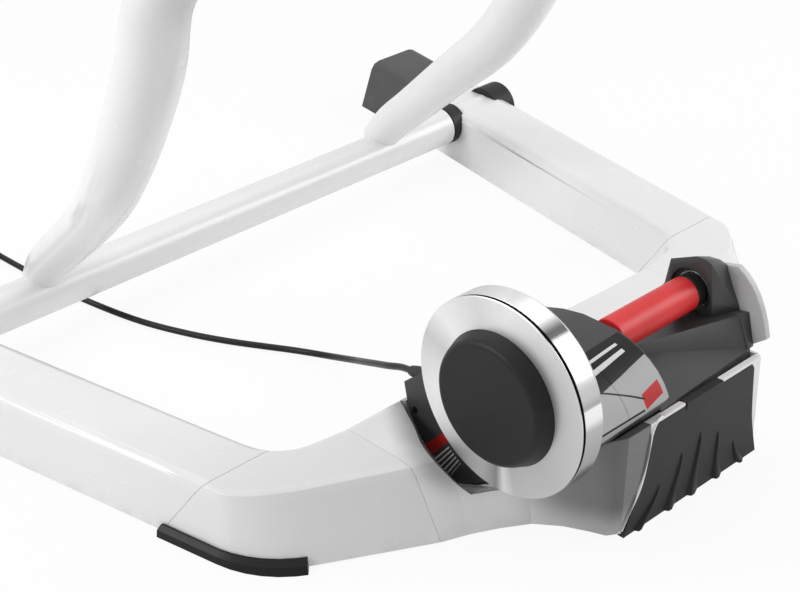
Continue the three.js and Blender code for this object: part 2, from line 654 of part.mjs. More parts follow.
function flywheelProfile() {
  const w = flywheel;
  const rim = w.radius;
  return [
    [w.back, w.bore], [w.back, rim - w.edge], [w.back - w.edge, rim],
    [w.grooveTo, rim], [w.grooveTo, rim - w.grooveDepth], [w.grooveFrom, rim - w.grooveDepth], [w.grooveFrom, rim],
    [w.face + w.edge, rim], [w.face, rim - w.edge], [w.face, w.faceInner],
    [w.face + w.recessDepth, w.faceInner - gap], [w.face + w.recessDepth, w.bore], [w.back, w.bore]];
}

addPiece('flywheel', turned(flywheelProfile(), 48), polishedSteel, rollerLine);
const capBack = flywheel.face + flywheel.recessDepth - gap;
const capInner = cap.baseRadius - gap * 2;
addPiece('flywheel_cap', turned([
  [capBack, 0], [capBack, capInner], [flywheel.face, cap.baseRadius], [cap.front + cap.shoulder, cap.frontRadius + gap],
  [cap.front, cap.frontRadius - cap.shoulder], [cap.front, 0]], 48), blackPlastic, rollerLine);
const ringLeft = flywheel.back + gap;
addPiece('brake_ring', turned([
  [ringLeft, brakeRing.inner], [ringLeft, brakeRing.outer],
  [ringLeft + brakeRing.thickness, brakeRing.outer], [ringLeft + brakeRing.thickness, brakeRing.inner],
  [ringLeft, brakeRing.inner]], 40), aluminium, rollerLine);

// Saddle moulding: stations fan out from the seam, round the hood, to the middle of the rear face.
// Each row: floor and top point of the outer wall and the front point, as shares of the seam's
// half-width in x and of the hood's reach behind the beam in y, then the top's height share.
const saddleShares = [
  { floor: [1, 0], top: [1, 0], front: 1, rise: 0 },
  { floor: [0.76, 0.1], top: [0.74, 0.1], front: 0.84, rise: 0.03 },
  { floor: [0.54, 0.22], top: [0.49, 0.22], front: 0.7, rise: 0.09 },
  { floor: [0.32, 0.37], top: [0.26, 0.4], front: 0.56, rise: 0.25 },
  { floor: [0.17, 0.58], top: [0.12, 0.61], front: 0.44, rise: 0.5 },
  { floor: [0.07, 0.8], top: [0.03, 0.82], front: 0.3, rise: 0.8 },
  { floor: [0.02, 0.93], top: [-0.02, 0.94], front: 0.2, rise: 0.93 },
  { floor: [-0.08, 1], top: [-0.1, 1], front: 0.1, rise: 1 },
];

function saddleStation(row, side) {
  const hood = side > 0 ? saddle.hoodRight : saddle.hoodLeft;
  const floorReach = saddle.hoodRear - base.beamFloorY;
  const topReach = saddle.hoodRear - base.beamTopY;
  const seam = base.seamX - gap;
  const across = (share) => side * (hood + share * (seam - hood));
  const draft = base.floorHalf - base.topHalf;
  return {
    floorOuter: plan(across(row.floor[0]), base.beamFloorY + row.floor[1] * floorReach),
    topOuter: plan(across(row.top[0]), base.beamTopY + row.top[1] * topReach),
    topInner: plan(side * seam * row.front, base.beamFrontY),
    floorInner: plan(side * seam * row.front, base.beamFrontY + draft),
    top: base.height + row.rise * (saddle.hoodTop - base.height),
  };
}

// The front edge stays at the beam's height while the hood rises behind it
function saddleRing(row, side, inset, bottom) {
  const station = saddleStation(row, side);
  const round = base.edgeRound * (1 - 0.86 * row.rise);
  const ring = sectionRing(station, bottom, base.height - inset, inset, round);
  const lift = station.top - base.height;
  const run = station.topInner.distanceTo(station.topOuter);
  for (const point of ring.slice(1, -1)) {
    const here = plan(point.x, point.y).distanceTo(station.topInner);
    point.z += lift * Math.min(1, Math.max(0, here / run));
  }
  return ring;
}

function saddleLoft(inset, bottom) {
  const right = saddleShares.map((row) => saddleRing(row, 1, inset, bottom));
  const left = saddleShares.map((row) => saddleRing(row, -1, inset, bottom));
  return loft([...right, ...left.reverse()]);
}

function buildSaddle() {
  const outside = solidOf(saddleLoft(0, base.bottom));
  const hollow = solidOf(saddleLoft(base.wall, base.bottom - overrun));
  const drumRoom = (wall) => drumSolid(drum.left - base.wall - wall, drum.right + drum.room + wall, -drum.room - wall);
  const wheelRoom = (wall) => axleBore(flywheel.face - base.edgeRound - wall, drum.left,
    flywheel.radius + saddle.wheelRoom + wall, 48);
  const unitRoom = (wall) => solidOf(block(drum.right - wall, casing.right + runningGap + wall,
    casing.rear - gap - wall, casing.front + gap + wall, casing.bottom - gap - wall, saddle.hoodTop * 2));
  let shell = outside.subtract(hollow);
  for (const room of [drumRoom, wheelRoom, unitRoom]) shell = shell.add(room(base.wall).intersect(outside));
  const rib = (x) => solidOf(block(x - base.ribThickness / 2, x + base.ribThickness / 2,
    saddle.hoodRear, base.beamFrontY + base.edgeRound, base.height / 4, saddle.hoodTop)).intersect(outside);
  for (let i = 0; i < saddle.wingRibs; i += 1) {
    const x = base.seamX - base.wall - i * base.edgeRound * 2;
    shell = shell.add(rib(x)).add(rib(-x));
  }
  const middle = (drum.right + casing.right) / 2;
  const panelBack = solidOf(block(-saddle.hoodLeft, saddle.hoodRight, saddle.hoodRear, casing.rear - gap,
    base.bottom, saddle.hoodTop)).intersect(outside);
  return shell.add(rib(middle)).add(panelBack).subtract(drumRoom(0)).subtract(wheelRoom(0)).subtract(unitRoom(0))
    .subtract(panelRoom());
}

// Rear panel: a plate with a flared foot, tapered ribs fan out down to the floor
const panelShares = [
  { z: 0, left: 0.92, right: 0.92, out: 1 }, { z: 0.16, left: 0.82, right: 0.9, out: 0.42 },
  { z: 0.4, left: 0.66, right: 0.86, out: 0.1 }, { z: 0.78, left: 0.57, right: 0.83, out: 0 },
  { z: 0.93, left: 0.54, right: 0.815, out: 0 }, { z: 0.97, left: 0.48, right: 0.79, out: 0 },
];
const panelRibs = [
  { foot: -0.69, head: -0.44, height: 0.26 }, { foot: -0.275, head: -0.16, height: 0.52 },
  { foot: 0.05, head: 0.1, height: 0.57 }, { foot: 0.38, head: 0.335, height: 0.455 },
  { foot: 0.68, head: 0.56, height: 0.29 },
];
const panelTab = { left: -0.09, right: 0.39, foot: 0.9 };
const panelEdge = (row) => [-row.left * saddle.hoodLeft, row.right * saddle.hoodRight];

function panelRings(grow) {
  const front = saddle.hoodRear + panel.seat + grow;
  return panelShares.map((row, i) => {
    const ends = i === 0 ? -grow : grow;
    const z = row.z * saddle.hoodTop + (i === 0 || i === panelShares.length - 1 ? ends : 0);
    const back = saddle.hoodRear - panel.proud - row.out * panel.flare;
    const [left, right] = panelEdge(row);
    const [x0, x1] = [left - grow, right + grow];
    return [vec(x0, front, z), vec(x1, front, z), vec(x1, back, z), vec(x0, back, z)];
  });
}

// Tongue on the plate's top edge that covers the rim in front of the casing
function panelTongue(grow) {
  return solidOf(block(panelTab.left * saddle.hoodRight - grow, panelTab.right * saddle.hoodRight + grow,
    saddle.hoodRear - panel.proud - grow, casing.rear - gap * 2 + grow,
    panelTab.foot * saddle.hoodTop, saddle.hoodTop + gap + grow * 2));
}

function panelRoom() {
  return solidOf(loft(panelRings(gap))).add(panelTongue(gap));
}

function buildPanel() {
  let body = solidOf(loft(panelRings(0))).add(panelTongue(0));
  const half = panel.ribWidth / 2;
  const seat = saddle.hoodRear;
  const toe = saddle.hoodRear - panel.proud - panel.flare - panel.ribReach;
  const tip = saddle.hoodRear - panel.proud - gap;
  for (const rib of panelRibs) {
    const [foot, head, height] = [rib.foot * saddle.hoodRight, rib.head * saddle.hoodRight, rib.height * saddle.hoodTop];
    body = body.add(solidOf(loft([
      [vec(foot - half, seat, 0), vec(foot + half, seat, 0), vec(foot + half / 2, toe, 0), vec(foot - half / 2, toe, 0)],
      [vec(head - half / 3, seat, height), vec(head + half / 3, seat, height),
        vec(head + half / 4, tip, height), vec(head - half / 4, tip, height)]])));
  }
  return body;
}

addPiece('saddle_shell', geometryOf(buildSaddle()), whitePlastic);
addPiece('rear_panel', geometryOf(buildPanel()), blackPlastic);

// Fork arms: each starts on top of the cross tube, bows out and rises to its axle clamp.
// Rows: shares of the fork's spread in x, of the way from the pivot to the axle in y and z, of the girth.
const armShares = [
  { out: 0.838, back: -0.042, up: 0.024, girth: 0.636 }, { out: 0.88, back: -0.031, up: 0.043, girth: 0.676 },
  { out: 0.91, back: -0.005, up: 0.062, girth: 0.698 }, { out: 0.923, back: 0.042, up: 0.095, girth: 0.713 },
  { out: 0.923, back: 0.134, up: 0.163, girth: 0.72 }, { out: 0.927, back: 0.328, up: 0.302, girth: 0.782 },
  { out: 0.983, back: 0.508, up: 0.441, girth: 0.895 }, { out: 1.0, back: 0.651, up: 0.61, girth: 0.964 },
  { out: 0.987, back: 0.75, up: 0.791, girth: 1.0 }, { out: 0.944, back: 0.776, up: 0.946, girth: 0.945 },
  { out: 0.821, back: 0.79, up: 1.019, girth: 0.855 }, { out: 0.658, back: 0.83, up: 1.016, girth: 0.745 },
  { out: 0.504, back: 0.949, up: 1.002, girth: 0.636 },
];

function routePoint(row) {
  return vec(row.out * fork.spread, pivot.y + row.back * (axleY - pivot.y), pivot.z + row.up * (axleZ - pivot.z));
}

function buildArm() {
  const route = new THREE.CatmullRomCurve3(armShares.map(routePoint), false, 'centripetal');
  const girth = new THREE.CatmullRomCurve3(armShares.map((row) => vec(row.girth * fork.girth, 0, 0)));
  const radiusAt = (share) => girth.getPoint(share).x;
  const outside = solidOf(tubeAlong(route, fork.steps, fork.sides, radiusAt));
  const inside = solidOf(tubeAlong(route, fork.innerSteps, fork.innerSides, (share) => radiusAt(share) - crossTube.wall,
    vec(0, -1, 0), fork.innerEnd));
  const tube = solidOf(cylinderAlongX(0, tubeReach, crossTube.radius + gap, pivot.y, pivot.z, 32));
  const barrel = solidOf(cylinderAlongX(clamp.inner - overrun, clamp.outer + overrun, clamp.radius + gap,
    axleY, axleZ, 32));
  return outside.subtract(inside).subtract(tube).subtract(barrel);
}

const armSolid = buildArm();
addPiece('right_arm', geometryOf(armSolid), whitePaint);
addPiece('left_arm', mirrorImage(armSolid), whitePaint);

const tubeEnd = tubeReach;
const stub = stubReach - base.wall;
const tubeCap = tubeEnd - crossTube.wall;
const stubBore = crossTube.stubRadius - crossTube.wall;
const tubeBore = crossTube.radius - crossTube.wall;
addPiece('cross_tube', turned([
  [-stub, stubBore], [-stub, crossTube.stubRadius], [-tubeEnd, crossTube.stubRadius], [-tubeEnd, crossTube.radius],
  [tubeEnd, crossTube.radius], [tubeEnd, crossTube.stubRadius], [stub, crossTube.stubRadius], [stub, stubBore],
  [tubeCap, stubBore], [tubeCap, tubeBore], [-tubeCap, tubeBore], [-tubeCap, stubBore], [-stub, stubBore],
], 26), whitePaint, pivotLine);

// Axle clamps: barrels on the arms, a lever-drawn plunger on the left, a screw with a knob on the right
function barrelGeometry(side) {
  const lip = base.wall;
  const [near, far] = [side * clamp.inner, side * clamp.outer];
  return turned([
    [near, clamp.bore], [near, clamp.radius - lip / 2], [near + side * lip / 2, clamp.radius],
    [far - side * lip / 2, clamp.radius], [far, clamp.radius - lip / 2], [far, clamp.bore], [near, clamp.bore],
  ], 26);
}

addPiece('right_clamp_barrel', barrelGeometry(1), whitePaint, axleLine);
addPiece('left_clamp_barrel', barrelGeometry(-1), whitePaint, axleLine);

// Cup with a stepped recess that takes the nut of the bike's skewer
function cupProfile(side, rodEnd) {
  const back = side * (clamp.inner - clamp.extended);
  const face = back - side * clamp.cupDepth;
  return [
    [face + side * clamp.cupRecess, 0], [face + side * clamp.cupRecess, clamp.cupBore * 0.8],
    [face, clamp.cupBore], [face, clamp.cupRadius - gap * 2], [face + side * gap * 2, clamp.cupRadius],
    [back, clamp.cupRadius], [back, clamp.rodRadius], [side * rodEnd, clamp.rodRadius], [side * rodEnd, 0]];
}

const plungerEnd = clamp.outer + gap * 2;
const tabEnd = plungerEnd + lever.hubRadius + lever.pinRadius;
function buildPlunger() {
  const rod = solidOf(turned(cupProfile(-1, plungerEnd), 32));
  const tab = solidOf(block(-tabEnd, -plungerEnd + gap, -lever.slot / 2 + gap, lever.slot / 2 - gap,
    -clamp.rodRadius * 0.9, clamp.rodRadius * 0.9));
  const eye = new THREE.CylinderGeometry(lever.pinRadius + gap, lever.pinRadius + gap, lever.slot * 2, 20);
  eye.translate(-plungerEnd - lever.hubRadius, 0, 0);
  return rod.add(tab).subtract(solidOf(eye));
}

addPiece('plunger_cup', geometryOf(buildPlunger()), steel, axleLine);

// Lever: a forked cam hub on the plunger's tab, its handle stands up when clamped
function buildLever() {
  const hub = new THREE.CylinderGeometry(lever.hubRadius, lever.hubRadius, lever.hubHeight, 28);
  hub.rotateX(Math.PI / 2);
  const pin = new THREE.CylinderGeometry(lever.pinRadius + gap, lever.pinRadius + gap, lever.hubHeight * 2, 20);
  pin.rotateX(Math.PI / 2);
  const slot = block(-lever.hubRadius * 2, lever.hubRadius * 2, -lever.hubRadius * 2, lever.hubRadius * 2,
    -lever.slot / 2, lever.slot / 2);
  const handle = new THREE.Shape();
  const w = lever.width / 2;
  const end = -lever.length;
  handle.moveTo(-lever.hubRadius * 0.3, -w);
  handle.lineTo(-lever.hubRadius * 0.3, w);
  handle.quadraticCurveTo(end * 0.5, w * 0.7, end + w, w);
  handle.absarc(end + w, 0, w, Math.PI / 2, Math.PI * 1.5, false);
  handle.quadraticCurveTo(end * 0.5, -w * 0.7, -lever.hubRadius * 0.3, -w);
  const grip = new THREE.ExtrudeGeometry(handle, { depth: lever.thickness, bevelEnabled: false, curveSegments: 7 });
  grip.translate(0, 0, -lever.hubRadius);
  grip.rotateY(Math.PI / 2);
  grip.rotateX(Math.PI / 2);
  return { hub: solidOf(hub), pin: solidOf(pin), slot: solidOf(slot), grip: solidOf(grip) };
}

const leverParts = buildLever();
const leverSolid = leverParts.hub.add(leverParts.grip).subtract(leverParts.slot.intersect(
  solidOf(block(-lever.length, lever.length, -lever.hubRadius - gap * 3, lever.length, -lever.length, lever.length))))
  .subtract(leverParts.pin);
const leverGeometry = geometryOf(leverSolid);
leverGeometry.rotateX(-Math.PI / 2);
const leverMesh = addPiece('clamp_lever', leverGeometry, blackPlastic, axleLine);
leverMesh.position.x = -plungerEnd - lever.hubRadius;
const leverPin = new THREE.CylinderGeometry(lever.pinRadius, lever.pinRadius, lever.hubHeight, 20);
const leverPinMesh = addPiece('lever_pin', leverPin, steel, axleLine);
leverPinMesh.position.x = leverMesh.position.x;

// Right side: a cup on a swivel, the screw and its lobed knob
const swivelDepth = clamp.cupDepth * 0.75;
const cupBack = clamp.inner - clamp.extended;
addPiece('adjuster_cup', turned([
  [cupBack - clamp.cupDepth + clamp.cupRecess, 0], [cupBack - clamp.cupDepth + clamp.cupRecess, clamp.cupBore * 0.8],
  [cupBack - clamp.cupDepth, clamp.cupBore], [cupBack - clamp.cupDepth, clamp.cupRadius - gap * 2],
  [cupBack - clamp.cupDepth + gap * 2, clamp.cupRadius], [cupBack, clamp.cupRadius], [cupBack, clamp.rodRadius],
  [cupBack + swivelDepth, clamp.rodRadius], [cupBack + swivelDepth, 0]], 32), steel, axleLine);
const screwStart = cupBack + swivelDepth + gap;
const screwEnd = clamp.outer + knob.neck;
const threadCount = 7;
function screwProfile() {
  const points = [[screwStart, 0], [screwStart, clamp.rodRadius * 0.9]];
  const pitch = (clamp.outer - screwStart) / (threadCount + 1);
  for (let i = 0; i < threadCount; i += 1) {
    const x = screwStart + (i + 0.75) * pitch;
    points.push([x, clamp.rodRadius * 0.9], [x + pitch * 0.5, clamp.rodRadius]);
  }
  points.push([clamp.outer, clamp.rodRadius * 0.9], [screwEnd, clamp.rodRadius * 0.9], [screwEnd, 0]);
  return points;
}

addPiece('adjuster_screw', turned(screwProfile(), 16), steel, axleLine);
function knobGeometry() {
  const shape = new THREE.Shape();
  const steps = knob.lobes * 6;
  for (let i = 0; i < steps; i += 1) {
    const angle = i / steps * TURN;
    const r = knob.radius - knob.lobeDepth * (1 - Math.cos(angle * knob.lobes)) / 2;
    const [y, z] = [r * Math.cos(angle), r * Math.sin(angle)];
    if (i === 0) shape.moveTo(y, z);
    else shape.lineTo(y, z);
  }
  const left = screwEnd + gap;
  return extrudedAlongX(shape, left, left + knob.thickness);
}

addPiece('adjuster_knob', knobGeometry(), blackPlastic, axleLine);

// Cable: leaves the gland, runs over the floor under the cross tube and ends in the shifter
addPiece('cable_gland', turnedOnGland([
  [-gland.depth + gap, cable.radius + gap], [-gland.depth + gap, gland.radius], [gland.depth / 2, gland.radius],
  [gland.length, gland.mouthRadius], [gland.length, cable.radius + gap],
  [-gland.depth + gap, cable.radius + gap]], 16), rubber);

const alongGland = (distance) => glandSpot.clone().addScaledVector(glandAxis, distance);
const floorRun = [
  [-109.2, 100, 72.2], [-105.7, 118, 64], [-98.5, 140, 53], [-90.2, 163, 41], [-81.2, 185, 29],
  [-75.5, 208, 18.5], [-72.6, 230, 10], [-75.5, 250, 5.6], [-83, 270, 3.5], [-94.5, 290, 3.1],
  [-112.2, 320, 3.1], [-129.7, 356, 3.05], [-147.7, 406, 3.05], [-160.7, 474, 3.05], [-165, 520, 3.05],
  [-167.2, 560, 3.05], [-168.5, 599, 3.05], [-169, 632, 3.05],
].map(([x, y, z]) => vec(x, y, z));
const coilStart = vec(coil.x + coil.outerRadius, coil.y, cable.radius + gap / 6);
const runRoute = new THREE.CatmullRomCurve3([alongGland(gap - gland.depth), alongGland(0), alongGland(gland.length),
  ...floorRun, coilStart], false, 'centripetal');
addPiece('cable_run', tubeAlong(runRoute, cable.steps, cable.sides, () => cable.radius, vec(0, 0, 1)), rubber);

// Coil: spirals inwards on the floor, climbs once and spirals outwards on top of itself
class CoilCurve extends THREE.Curve {
  getPoint(share) {
    const turn = coil.lead + share * (coil.turns - coil.lead * 2);
    const half = coil.turns / 2;
    const radius = coil.outerRadius - coil.pitch * (half - Math.abs(turn - half));
    const climb = THREE.MathUtils.smoothstep(turn, half - coil.climb / 2, half + coil.climb / 2);
    const angle = turn * TURN;
    return vec(coil.x + radius * Math.cos(angle), coil.y + radius * Math.sin(angle), cable.radius + climb * coil.pitch);
  }
}

addPiece('cable_coil', tubeAlong(new CoilCurve(), coil.turns * coil.steps, cable.sides, () => cable.radius,
  vec(0, 0, 1)), rubber);

// Shifter lies on the floor: housing with a plain dial, thumb lever and the band for the handlebar
const shifterTop = shifter.height;
const shifterFront = shifter.y + shifter.length / 2;
function roundedPlan(width, length, radius) {
  const shape = new THREE.Shape();
  const [w, l] = [width / 2, length / 2];
  shape.moveTo(-w + radius, -l);
  shape.lineTo(w - radius, -l);
  shape.absarc(w - radius, -l + radius, radius, -Math.PI / 2, 0, false);
  shape.absarc(w - radius, l - radius, radius, 0, Math.PI / 2, false);
  shape.absarc(-w + radius, l - radius, radius, Math.PI / 2, Math.PI, false);
  shape.absarc(-w + radius, -l + radius, radius, Math.PI, Math.PI * 1.5, false);
  return shape;
}

function uprightPrism(shape, bottom, top, x, y) {
  const geometry = new THREE.ExtrudeGeometry(shape, { depth: top - bottom, bevelEnabled: false, curveSegments: 6 });
  return welded(geometry.translate(x, y, bottom));
}

function uprightCylinder(radius, bottom, top, x, y, segments = 20) {
  const geometry = new THREE.CylinderGeometry(radius, radius, top - bottom, segments);
  geometry.rotateX(Math.PI / 2);
  return geometry.translate(x, y, (top + bottom) / 2);
}

const boreHeight = shifter.height / 2;
function buildShifterBody() {
  const housing = solidOf(uprightPrism(roundedPlan(shifter.width, shifter.length, shifter.cornerRadius), 0,
    shifterTop, shifter.x, shifter.y));
  const dial = solidOf(uprightCylinder(shifter.dialRadius, shifterTop - gap, shifterTop + shifter.dialHeight,
    shifter.x, shifter.y));
  const ferrule = new THREE.CylinderGeometry(shifter.ferruleRadius, shifter.ferruleRadius,
    shifter.ferruleLength + shifter.cornerRadius, 20);
  ferrule.translate(shifter.x, shifterFront + (shifter.ferruleLength - shifter.cornerRadius) / 2, boreHeight);
  const bore = new THREE.CylinderGeometry(cable.radius + gap, cable.radius + gap, shifter.length / 2, 16);
  bore.translate(shifter.x, shifterFront + shifter.ferruleLength, boreHeight);
  const lip = solidOf(uprightCylinder(shifter.dialRadius + gap, shifterTop - shifter.leverThickness,
    shifterTop + overrun, shifter.x, shifter.y));
  return housing.add(solidOf(ferrule)).subtract(solidOf(bore)).subtract(lip)
    .add(solidOf(uprightCylinder(shifter.dialRadius / 3, shifterTop - shifter.leverThickness - gap,
      shifterTop + shifter.dialHeight, shifter.x, shifter.y)));
}

function buildShifterLever() {
  const hub = solidOf(uprightCylinder(shifter.dialRadius, shifterTop - shifter.leverThickness + gap,
    shifterTop + shifter.dialHeight, shifter.x, shifter.y));
  const paddle = solidOf(uprightPrism(roundedPlan(shifter.leverLength + shifter.dialRadius, shifter.leverWidth,
    shifter.leverWidth / 2 - gap), shifterTop + gap, shifterTop + shifter.dialHeight,
  shifter.x + (shifter.leverLength + shifter.dialRadius) / 2, shifter.y));
  const post = solidOf(uprightCylinder(shifter.dialRadius / 3 + gap, 0, shifterTop * 2, shifter.x, shifter.y));
  return hub.add(paddle).subtract(post);
}

function buildShifterBand() {
  const centreX = shifter.x - shifter.width / 2 - gap - shifter.bandRadius;
  const ring = (radius, width) => {
    const geometry = new THREE.CylinderGeometry(radius, radius, width, 32);
    return solidOf(geometry.translate(centreX, shifter.y, shifter.bandRadius));
  };
  const foot = solidOf(block(shifter.x - shifter.width / 2 - shifter.bandRadius + gap, shifter.x - shifter.width / 2 - gap,
    shifter.y - shifter.bandWidth / 2, shifter.y + shifter.bandWidth / 2, shifter.bandRadius / 2,
    shifter.bandRadius * 1.3));
  const slit = solidOf(block(centreX - shifter.bandRadius * 2, centreX - shifter.bandBore / 2,
    shifter.y - shifter.bandWidth, shifter.y + shifter.bandWidth, shifter.bandRadius - shifter.bandGap / 2,
    shifter.bandRadius + shifter.bandGap / 2));
  return ring(shifter.bandRadius, shifter.bandWidth).add(foot).subtract(ring(shifter.bandBore, shifter.bandWidth * 2))
    .subtract(slit);
}

addPiece('shifter_body', geometryOf(buildShifterBody()), blackPlastic);
addPiece('shifter_lever', geometryOf(buildShifterLever()), blackPlastic);
addPiece('shifter_band', geometryOf(buildShifterBand()), blackPlastic);

const coilEnd = vec(coil.x - coil.outerRadius, coil.y - gap * 2, cable.radius + coil.pitch);
const ferruleEnd = shifterFront + shifter.ferruleLength;
const tailRoute = new THREE.CatmullRomCurve3([coilEnd,
  vec(coilEnd.x, coilEnd.y - shifter.ferruleLength, coilEnd.z),
  vec(shifter.x, ferruleEnd + shifter.ferruleLength, boreHeight),
  vec(shifter.x, ferruleEnd, boreHeight),
  vec(shifter.x, shifterFront, boreHeight)], false, 'centripetal');
addPiece('cable_tail', tubeAlong(tailRoute, cable.tailSteps, cable.sides, () => cable.radius, vec(0, 0, 1)), rubber);

// Origin on the floor under the middle of the rigid trainer
const rearReach = saddle.hoodRear - panel.proud - panel.flare - panel.ribReach;
const frontReach = base.legFront + gap + frontCap.length;
trainer.position.y = -(rearReach + frontReach) / 2;
const root = new THREE.Group();
root.add(trainer);

export default root;
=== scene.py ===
import json
import math
import bpy
from mathutils import Matrix, Vector

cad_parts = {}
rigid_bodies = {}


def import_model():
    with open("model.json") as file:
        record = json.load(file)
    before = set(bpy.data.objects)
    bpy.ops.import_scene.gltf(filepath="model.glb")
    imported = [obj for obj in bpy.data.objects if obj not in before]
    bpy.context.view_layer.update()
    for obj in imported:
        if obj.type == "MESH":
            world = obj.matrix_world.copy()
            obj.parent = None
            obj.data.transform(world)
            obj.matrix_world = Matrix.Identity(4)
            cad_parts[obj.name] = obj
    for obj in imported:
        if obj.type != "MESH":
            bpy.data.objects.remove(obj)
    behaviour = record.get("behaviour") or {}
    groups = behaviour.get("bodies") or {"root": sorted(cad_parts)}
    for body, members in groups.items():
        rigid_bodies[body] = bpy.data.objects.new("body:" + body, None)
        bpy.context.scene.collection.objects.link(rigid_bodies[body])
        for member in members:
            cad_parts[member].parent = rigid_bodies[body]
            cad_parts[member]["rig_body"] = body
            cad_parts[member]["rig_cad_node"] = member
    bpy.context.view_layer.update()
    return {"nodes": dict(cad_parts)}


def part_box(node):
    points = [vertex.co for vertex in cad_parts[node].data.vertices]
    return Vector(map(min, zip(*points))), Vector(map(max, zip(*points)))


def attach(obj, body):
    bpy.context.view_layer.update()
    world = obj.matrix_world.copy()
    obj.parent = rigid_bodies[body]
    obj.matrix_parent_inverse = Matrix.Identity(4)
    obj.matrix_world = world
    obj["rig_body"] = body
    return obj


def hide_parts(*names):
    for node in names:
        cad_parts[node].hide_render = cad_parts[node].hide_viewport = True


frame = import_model()
nodes = frame["nodes"]
scene = bpy.context.scene
scene.view_settings.view_transform = "Standard"

# places shared by several pieces, in metres: the roller line, the fork's pivot and the rear axle
rollerY, rollerZ = -0.29955, 0.131
pivotY, pivotZ = 0.20295, 0.0414
axleY, axleZ = -0.07330, 0.40450
rollerLine, pivotLine, axleLine = (rollerY, rollerZ), (pivotY, pivotZ), (axleY, axleZ)
# the cable's places are in the CAD's own millimetres, and this moves them along Y into the frame
floorShift = -0.25155


def smoothRun(points, perSpan):
    # centripetal Catmull-Rom through the points, perSpan steps from one to the next
    rows = [Vector(p) for p in points]
    rows = [2 * rows[0] - rows[1], *rows, 2 * rows[-1] - rows[-2]]
    run = []
    for i in range(len(rows) - 3):
        a, b, c, d = rows[i:i + 4]
        gaps = [(q - p).length ** 0.5 for p, q in ((a, b), (b, c), (c, d))]
        middle = gaps[1] if gaps[1] > 1e-4 else 1
        first = gaps[0] if gaps[0] > 1e-4 else middle
        last = gaps[2] if gaps[2] > 1e-4 else middle
        leave = ((b - a) / first - (c - a) / (first + middle) + (c - b) / middle) * middle
        arrive = ((c - b) / middle - (d - b) / (middle + last) + (d - c) / last) * middle
        for k in range(perSpan + (i == len(rows) - 4)):
            t = k / perSpan
            run.append(b + leave * t + (3 * (c - b) - 2 * leave - arrive) * t ** 2
                       + (2 * (b - c) + leave + arrive) * t ** 3)
    return run


def smoothRun4(rows, perSpan):
    # rows of four numbers, the last three smoothed along the first
    run = smoothRun([(a, b, c) for a, b, c, d in rows], perSpan)
    rest = smoothRun([(a, b, d) for a, b, c, d in rows], perSpan)
    return [(p.x, p.y, p.z, q.z) for p, q in zip(run, rest)]


# camera: where the photo was taken from
camera = {"spot": (-0.99275, -1.04643, 0.85999), "turn": 44.581, "pitch": 29.819, "lens": 81.66,
          "film": 36, "nearest": 0.01}
bpy.ops.object.camera_add(location=camera["spot"],
                          rotation=(math.radians(90 - camera["pitch"]), 0, -math.radians(camera["turn"])))
cameraObject = bpy.context.object
cameraObject.data.lens = camera["lens"]
cameraObject.data.sensor_width = camera["film"]
cameraObject.data.clip_start = camera["nearest"]
scene.camera = cameraObject
print("camera set")


# finishes

def grey(level):
    return (level, level, level, 1)


def scaled(colour, factor):
    return (*(factor * part for part in colour[:3]), 1)


class Signal:
    # one output of a finish's nodes; sums and products of signals add their maths nodes
    def __init__(self, finish, socket):
        self.finish, self.socket = finish, socket

    def maths(self, operation, first, second=0.0):
        return self.finish.add("ShaderNodeMath", {"operation": operation}, {0: first, 1: second})

    def __add__(self, other):
        return self.maths("ADD", self, other)

    def __sub__(self, other):
        return self.maths("SUBTRACT", self, other)

    def __rsub__(self, other):
        return self.maths("SUBTRACT", other, self)

    def __mul__(self, other):
        return self.maths("MULTIPLY", self, other)

    def __truediv__(self, other):
        return self.maths("DIVIDE", self, other)

    def __pow__(self, other):
        return self.maths("POWER", self, other)

    def __gt__(self, other):
        return self.maths("GREATER_THAN", self, other)

    def __lt__(self, other):
        return self.maths("LESS_THAN", self, other)

    __radd__ = __add__


